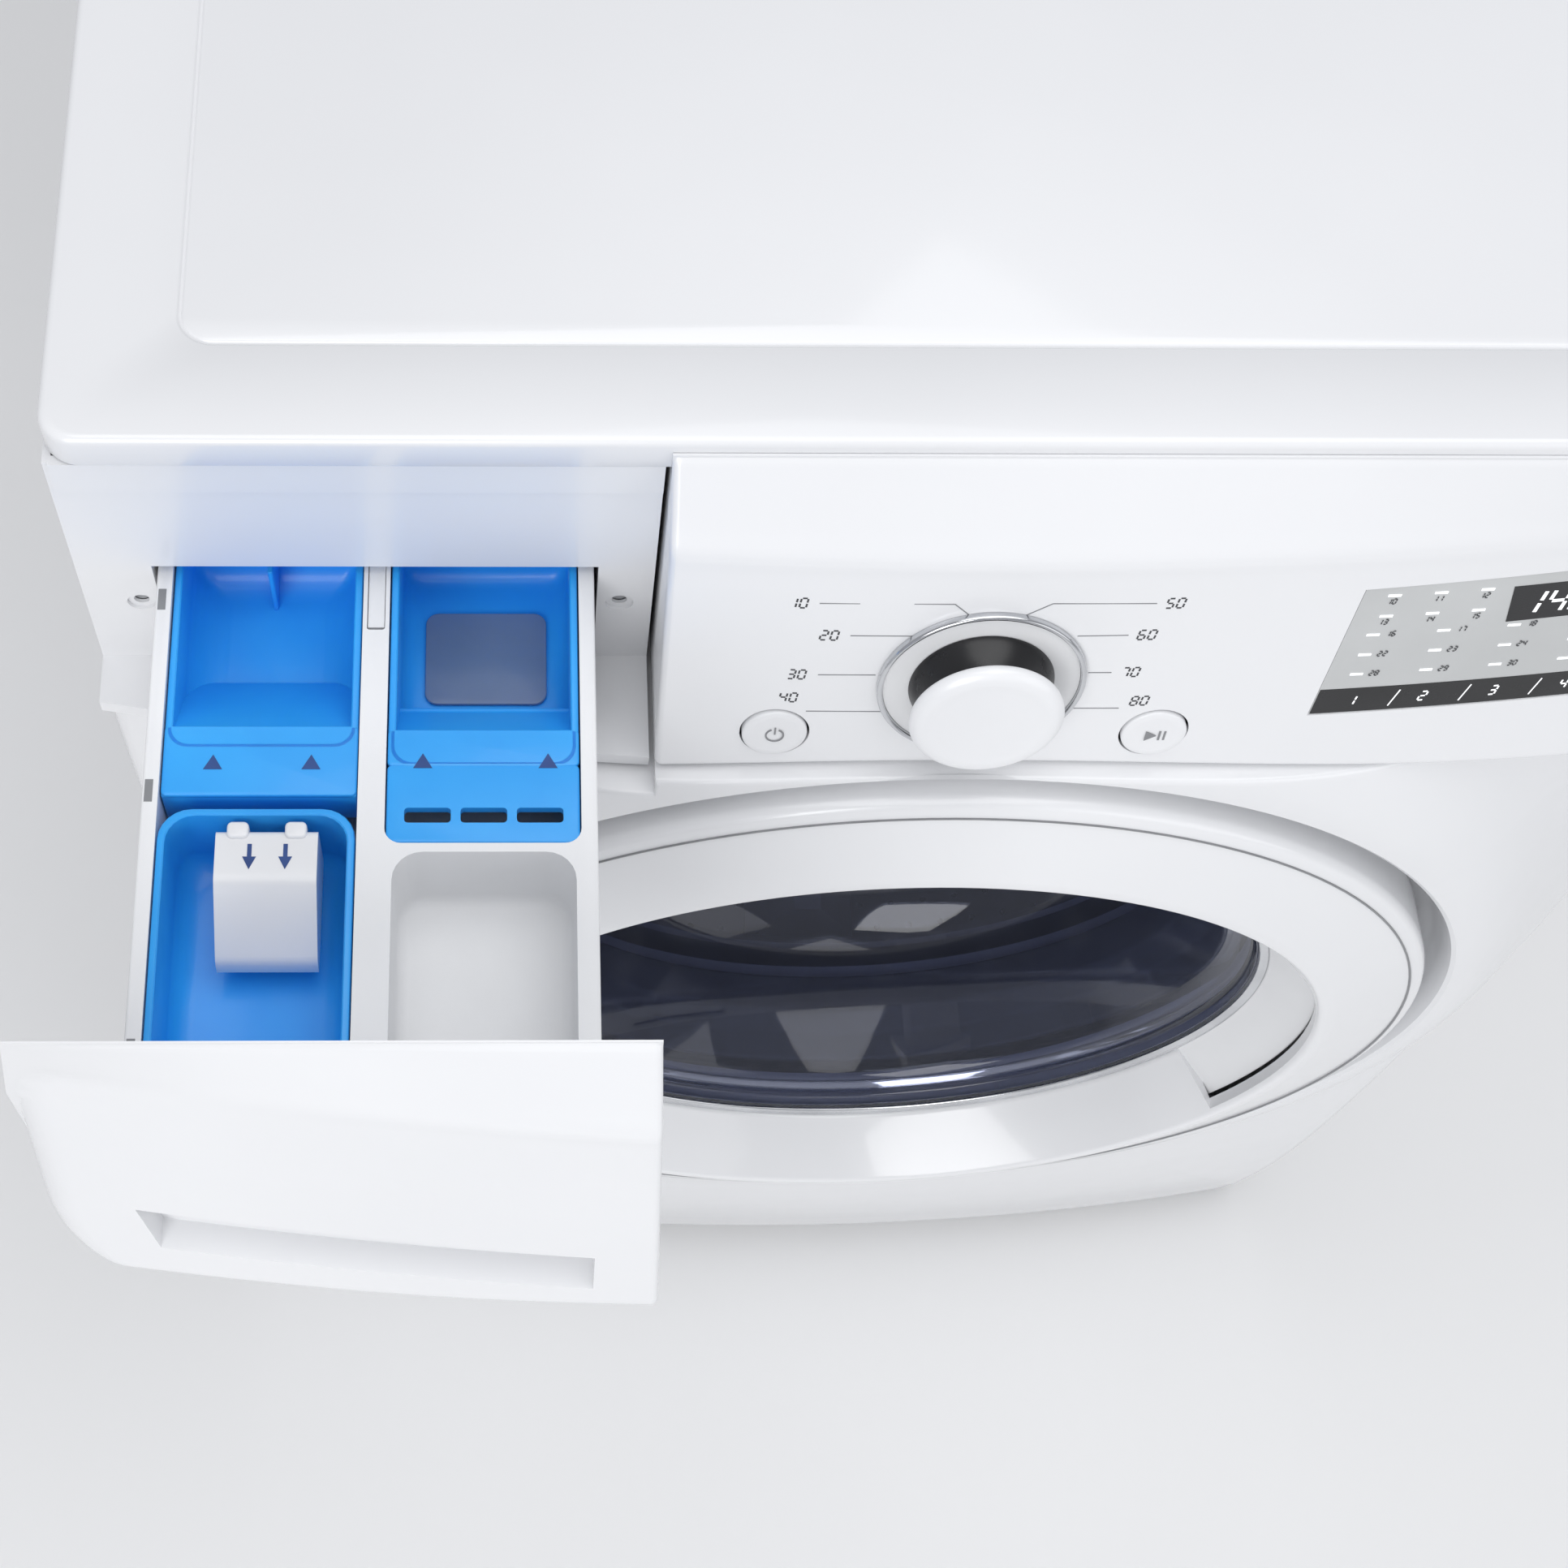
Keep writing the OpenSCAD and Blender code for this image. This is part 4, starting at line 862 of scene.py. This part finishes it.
def dial_print():
    """Leader lines round the knob with plain number marks at their ends."""
    lines, marks = [], []
    for side, rows in DIAL_ROWS.items():
        first = 10 if side < 0 else 50
        for k, (points, corner) in enumerate(rows):
            lines += [bar(*a, *b, 0.45) for a, b in zip(points, points[1:])]
            marks += number(str(first + 10 * k), *corner, 5.0, 0.7)
    printed("dial_lines", lines, "grey_print", "root", face_y)
    printed("dial_numbers", marks, "panel_print", "root", face_y)


def display():
    """Sunk display: pale face, dark strip and readout, lamps, and plain numbers."""
    def window(x, z):
        return face_y(x, z) + 0.35

    def above(x, z):
        return window(x, z) - 0.2

    pane = patch([(131.4, 859.4), (303.6, 859.4), (303.6, 934.6), (134.4, 928.6)], window, 0.8)
    make_piece("display_visual", *pane, "display_face", "root", ["display_window"])
    strip = patch([(131.8, 859.8), (303.2, 859.8), (303.2, 873.5), (132.4, 873.5)], above, 0.2)
    make_piece("display_strip", *strip, "dark_plastic", "root")
    glass = patch([(194, 906), (231, 907), (228, 926), (191, 925)], above, 0.2, 8, 4)
    make_piece("display_readout", *glass, "dark_plastic", "root")
    lit = number("148", 197, 909.5, 12.5, 1.5)
    lamps = [(x, z) for z in (925, 914) for x in (146, 163.5, 181)]
    lamps += [(x, z) for z in (904, 893, 882) for x in (144, 171, 198, 225, 252, 279)]
    lit += [bar(x - 2.5, z, x + 2.5, z - 0.2, 1.2) for x, z in lamps]
    printed("display_lights", lit, "lit_segment", "root", above)
    labels = []
    for k, (x, z) in enumerate(lamps):
        across, down = (-2, 4.6) if k < 6 else (5, 1.4)
        labels += number(str(10 + k), x + across, z - down, 2.6, 0.4)
    printed("display_numbers", labels, "panel_print", "root", above)
    slashes = [bar(x, 862, x + 2.4, 871, 0.5) for x in np.arange(162, 300, 28)]
    slashes += [s for k, x in enumerate(np.arange(145, 300, 28)) for s in number(str(k + 1), x, 864, 5, 0.65)]
    printed("display_strip_marks", slashes, "lit_segment", "root", above)


# ---------------------------------------------------------------- drawer

def drawer_front():
    """The moving part of the leaning face, with the finger recess and its ledge behind."""
    def ends(z):
        left = np.interp(z, [818, 826, 836, 850, 930, 978], [12, 6, 2, 0, 0, 7])
        right = 3 + np.interp(z, [830, 978], [0, 5])
        return -HALF_W + left, SPLIT_X - right

    def back_y(x, z):
        return -2.4 if z > PLATE_Z - 0.6 else -1.5

    def limit(x, z):
        return -3.0

    points, faces = face_shell(ends, smooth_arch, face_top, back_y, limit, left_edge=12.0, right_edge=2.5,
                               edge=4.0, across=60, up=60)
    points, faces = closed_back(points, faces)
    corners = [(-303, 838), (-149, 840), (-149, 863), (-309, 864)]
    recess = loose(*patch(corners, lambda x, z: face_y(x, z) - 40, 51, 40, 6), DRAWER_OUT)
    # Room for the ledge below the recess when the drawer is shut
    corners = [(-350, 800), (-115, 800), (-115, LEDGE_Z + 0.8), (-350, LEDGE_Z + 0.8)]
    ledge = loose(*patch(corners, lambda x, z: bow(x) - 50.5, 90, 40, 4), DRAWER_OUT)
    make_piece("drawer_front_visual", points, faces, "white_enamel", "drawer", ["drawer_front"],
               out=DRAWER_OUT, cuts=[recess, ledge], crease=30)


def closed_back(points, faces):
    """The same shell with its open back filled."""
    work = bmesh.new()
    for p in points:
        work.verts.new(p)
    work.verts.ensure_lookup_table()
    for f in faces:
        try:
            work.faces.new([work.verts[i] for i in f])
        except ValueError:
            continue
    bmesh.ops.holes_fill(work, edges=[e for e in work.edges if e.is_boundary], sides=0)
    points = [tuple(v.co) for v in work.verts]
    work.verts.index_update()
    faces = [[v.index for v in f.verts] for f in work.faces]
    work.free()
    return points, faces


def drawer_tray():
    """Tray with a deep bay on each side of its rail, a shallow one in front, and a slot in the rail."""
    outer = block((TRAY_X0, TRAY_Y0, TRAY_FLOOR_Z), (TRAY_X1, TRAY_Y1, RIM_Z), 4, 1.2)
    bays = [((TRAY_X0 + 6, 3, TRAY_FLOOR_Z + 3), (RAIL_X0, TRAY_Y1 - 4, RIM_Z + 9), 6),
            ((RAIL_X1, 103.5, TRAY_FLOOR_Z + 3), (TRAY_X1 - 6, TRAY_Y1 - 4, RIM_Z + 9), 6),
            ((RAIL_X1 + 3, 7, TRAY_FLOOR_Z + 6), (TRAY_X1 - 8, 100, RIM_Z + 9), 11),
            ((RAIL_X0 + 1.6, 191.5, RIM_Z - 14), (RAIL_X1 - 1.6, 233, RIM_Z + 9), 1)]
    cuts = [loose(*block(lo, hi, r, min(r * 0.8, 5)), DRAWER_OUT) for lo, hi, r in bays]
    make_piece("drawer_tray_visual", *outer, "matt_white_plastic", "drawer", ["drawer_tray"],
               out=DRAWER_OUT, cuts=cuts)
    # Painted shade: flat grey marks on the rim stand in for the shade inside its notches; nothing is cut.
    x0, x1 = TRAY_X0 + 1, TRAY_X0 + 4
    notch_shade_marks = [[(x0, y), (x1, y), (x1, y + 9), (x0, y + 9)] for y in (20, 120, 200, 240)]
    flat_print("tray_notch_painted_shade", notch_shade_marks, RIM_Z - 0.05, "grey_print", "drawer", DRAWER_OUT)


def wash_cups():
    """The main wash and prewash cups on the left, and the bleach cup with its band on the right."""
    left, right = (-306, -234.5), (-223.5, -153)
    cup_wall = 3

    def across(span, y0, z0, y1, z1):
        return (span[0], y0, z0), (span[1], y1, z1)

    shell = cup(*across(left, 5, 848, 117.5, 892), cup_wall, 12, foot=9)
    make_piece("mainwash_cup_visual", *shell, "blue_plastic", "mainwash_cup", ["mainwash_cup"],
               out=DRAWER_OUT)
    shell = join(cup(*across(left, 142, 850, 242, 890), cup_wall, 8, foot=14),
                 block(*across(left, 123.5, 887, 152, 890), 2, 0.8),
                 ramp((-304, -236.5), [(150, 889), (190, 853.5), (144, 853.5), (144, 889)]),
                 block(*across(left, 123.5, 870, 126.5, 889), 1, 0.8),
                 block((-272, 222, 853), (-270, 241, 882), 0.9, 0.5))
    make_piece("prewash_cup_visual", *shell, "blue_plastic", "drawer", ["prewash_cup"], out=DRAWER_OUT)
    slots = [loose(*block((x, 112, 862), (x + 17, 118, 899), 1.5, 0.5), DRAWER_OUT)
             for x in (-217, -196.5, -176)]
    shell = join(cup(*across(right, 134, 850, 242, 891), cup_wall, 8, foot=8),
                 block(*across(right, 135, 887.5, 150, 891), 2, 0.8),
                 ramp((-221.5, -155), [(148, 890), (170, 866), (172, 866), (172, 862), (168, 853.5),
                                       (138, 853.5), (138, 890)]))
    make_piece("bleach_cup_visual", *shell, "blue_plastic", "drawer", ["bleach_cup"], out=DRAWER_OUT)
    band = block(*across(right, 104, 887, 135.5, 891), 2, 0.8)
    make_piece("bleach_band", *band, "blue_plastic", "drawer", out=DRAWER_OUT, cuts=slots)
    apron = block(*across(right, 104, 871, 107, 888), 1, 0.6)
    make_piece("bleach_apron", *apron, "blue_plastic", "drawer", out=DRAWER_OUT)
    window = block((-211.7, 179.3, 853.3), (-164.3, 219.7, 855), 5, 0.5)
    make_piece("bleach_window_visual", *window, "smoked_window", "drawer", ["bleach_window"], out=DRAWER_OUT)
    marks = [[(x, 134), (x + 7, 134), (x + 3.5, 140)] for x in (-291, -255, -214, -168)]
    flat_print("cup_marks", marks[:2], 890, "tray_print", "drawer", DRAWER_OUT)
    flat_print("bleach_marks", marks[2:], 891, "tray_print", "drawer", DRAWER_OUT)


def detergent_insert():
    """Insert for powder in the main wash cup, hooked over the cup's back wall."""
    body = ramp((-285, -248), [(109.5, 890), (90, 890), (65, 872), (63.5, 864), (109.5, 862)])
    skirt = block((-284, 68, 856), (-249, 108, 868), 3, 1.5)
    hooks = [block((x, 106, 884), (x + 8, 112.5, 891.5), 2, 1.2) for x in (-281, -260)]
    shell = join(body, skirt, *hooks)
    make_piece("detergent_insert_visual", *shell, "white_plastic", "detergent_insert", ["detergent_insert"],
               out=DRAWER_OUT)
    arrows = []
    for x in (-275, -262):
        arrows.append([(x, 99), (x + 5, 99), (x + 2.5, 94)])
        arrows.append([(x + 1.7, 99), (x + 3.3, 99), (x + 3.3, 104), (x + 1.7, 104)])
    flat_print("insert_arrows", arrows, 890, "tray_print", "detergent_insert", DRAWER_OUT)


# ---------------------------------------------------------------- door and drum

def door():
    """The door's ring with its grip pocket, seam, bowl, chrome trim, and the gasket behind it."""
    ring_shape = fillet([(DOOR_R, -60), (DOOR_R - 1.5, -64), (219, -78.5), (214, -78.8), (GLASS_R + 1, -46),
                         (GLASS_R + 1, -42.5), (GLASS_R + 7, -41.5), (214, -72.5), (219, -74.5),
                         (DOOR_R - 4, -60), (DOOR_R - 4, -34), (DOOR_R - 0.5, -34)],
                        [1.5, 2.5, 5, 3, 3, 0.8, 2, 3, 3, 1, 0.5, 0.8], 5)
    grip = fillet([(188, -90), (211, -90), (214, -60), (210, -48), (188, -40)], [0, 2, 6, 8, 0], 4)
    scoop = loose(*turned(grip, arc=(math.radians(GRIP[0]), math.radians(GRIP[1])), steps=40))
    notch = cutter_box((-300, -100, AXIS_Z - 35), (-254, 0, AXIS_Z + 35))
    make_piece("door_ring_visual", *turned(ring_shape, steps=160), "white_enamel", "door", ["door_ring"],
               cuts=[scoop, notch])
    seam_in, seam_out = DOOR_R - 8.2, DOOR_R - 7.2
    seam = fillet([(seam_in, -66.6), (seam_out, -66.9), (seam_out, -66.0), (seam_in, -65.8)], 0.2, 2)
    make_piece("door_seam", *turned(seam, steps=160), "grey_print", "door")
    pocket = fillet([(193, -41.9), (214.5, -67), (215.8, -66), (216, -43.5), (214, -41.6)],
                    [0.5, 2, 2, 2, 1], 3)
    wider = (math.radians(GRIP[0] - 1), math.radians(GRIP[1] + 1))
    make_piece("grip_floor", *turned(pocket, arc=wider, steps=40), "matt_white_plastic", "door")
    bowl = fillet([(GLASS_R - 5, -40.8), (GLASS_R - 5, -35), (176, -32), (163, 4), (152, 46), (136, 66),
                   (110, 74), (0.01, 77), (0.01, 81.8), (112, 78.8), (140, 70.8), (157, 50), (168, 5),
                   (180, -27.6),
                   (GLASS_R - 4, -28.4), (GLASS_R - 4, -40.8)],
                  [1, 4, 10, 20, 20, 20, 20, 0, 0, 20, 20, 20, 20, 10, 1, 1], 6)
    make_piece("door_glass_visual", *turned(bowl, steps=160), "dark_glass", "door", ["door_glass"], crease=60)
    trim = fillet([(GLASS_R + 0.5, -45.2), (GLASS_R + 0.5, -41.8), (GLASS_R - 4, -41.8),
                   (GLASS_R - 4, -43.6)], 0.8, 4)
    make_piece("glass_trim_visual", *turned(trim, steps=160), "chrome_trim", "door", ["glass_trim"])
    bellows = fillet([(199.4, -12), (199.4, -4), (208, -4), (208, 12), (188, 20), (188, 29), (202, 29),
                      (202, 33.8), (178, 33.8), (178, 12), (194, 4), (194, -12)], 2.6, 4)
    make_piece("door_gasket_visual", *turned(bellows, steps=128), "grey_rubber", "root", ["door_gasket"])


def drum_details():
    """Painted shade for the drum's perforations: flat dark discs on the drum's wall, clear of its three lifters,
    and on its back, stand in for the dark holes.
    """
    around, back_pitch = 84, 22
    lifters, lifter_half = (90, 210, 330), 9
    inside = DRUM_R - DRUM_WALL
    holes = []
    for k, y in enumerate(np.arange(84, 520, 17)):
        for a in np.linspace(0, 2 * math.pi, around, endpoint=False) + (k % 2) * math.pi / around:
            away = [abs((math.degrees(a) - c + 180) % 360 - 180) for c in lifters]
            if min(away) < lifter_half:
                continue
            spot = (inside * math.cos(a), y, AXIS_Z + inside * math.sin(a))
            holes.append((spot, (-math.cos(a), 0, -math.sin(a))))
    for r in np.arange(70, 250, 20):
        count = int(r * 2 * math.pi / back_pitch)
        for a in np.linspace(0, 2 * math.pi, count, endpoint=False):
            holes.append(((r * math.cos(a), DRUM_BACK - DRUM_WALL, AXIS_Z + r * math.sin(a)), (0, -1, 0)))
    # Flat dark discs, not holes: painted shade where the perforations are.
    studs("drum_hole_painted_shade", holes, "dark_plastic", "drum", 2.0, 2.0, 0.3, 10)


def screws():
    """Screw heads in the drawer's recess and round the back's edge."""
    heads = [((x, 5.2, 870), (0, -1, 0)) for x in (-321.5, -136)]
    studs("recess_screws", heads, "zinc_steel", "root", 3.6, 2.8, 2.0, 24)
    spots = [((x, DEPTH - 1.4, z), (0, 1, 0)) for x in (-325, 325) for z in (70, 300, 520, 740, 945)]
    spots += [((x, DEPTH - 1.4, 945), (0, 1, 0)) for x in (-110, 0, 110)]
    studs("rear_screws", spots, "zinc_steel", "root", 4.6, 3.4, 2.2, 16)


# ---------------------------------------------------------------- room

def room():
    """Pale floor under the feet, an even sky and three soft lamps."""
    low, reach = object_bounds()[0].z, 30
    mesh = bpy.data.meshes.new("floor")
    corners = [(-reach, -reach, low), (reach, -reach, low), (reach, reach, low), (-reach, reach, low)]
    mesh.from_pydata(corners, [], [(0, 1, 2, 3)])
    floor = add_object("floor", mesh)
    mesh.materials.append(MATERIALS["floor_paint"])
    floor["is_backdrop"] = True
    world = bpy.data.worlds.new("room")
    world.use_nodes = True
    sky = world.node_tree.nodes["Background"]
    sky.inputs["Color"].default_value = (0.93, 0.95, 1.0, 1)
    sky.inputs["Strength"].default_value = 0.46
    bpy.context.scene.world = world
    lamps = [("overhead", (0.3, -0.3, 3.6), (0, 0, 0.6), 2.6, 38),
             ("key", (-1.2, -2.8, 2.4), (0, 0, 0.7), 1.8, 44),
             ("fill", (2.6, -2.2, 1.8), (0, 0, 0.6), 2.2, 14)]
    for name, spot, aim, size, watts in lamps:
        data = bpy.data.lights.new(name, "AREA")
        data.size, data.energy = size, watts
        light = add_object(name, data)
        light.location = spot
        light.rotation_euler = (Vector(aim) - Vector(spot)).to_track_quat("-Z", "Y").to_euler()
    bpy.context.scene.view_settings.view_transform = "Standard"


worktop()
front_panel()
filter_door()
control_panel()
knob()
buttons()
dial_print()
display()
drawer_front()
drawer_tray()
wash_cups()
detergent_insert()
door()
drum_details()
screws()
room()
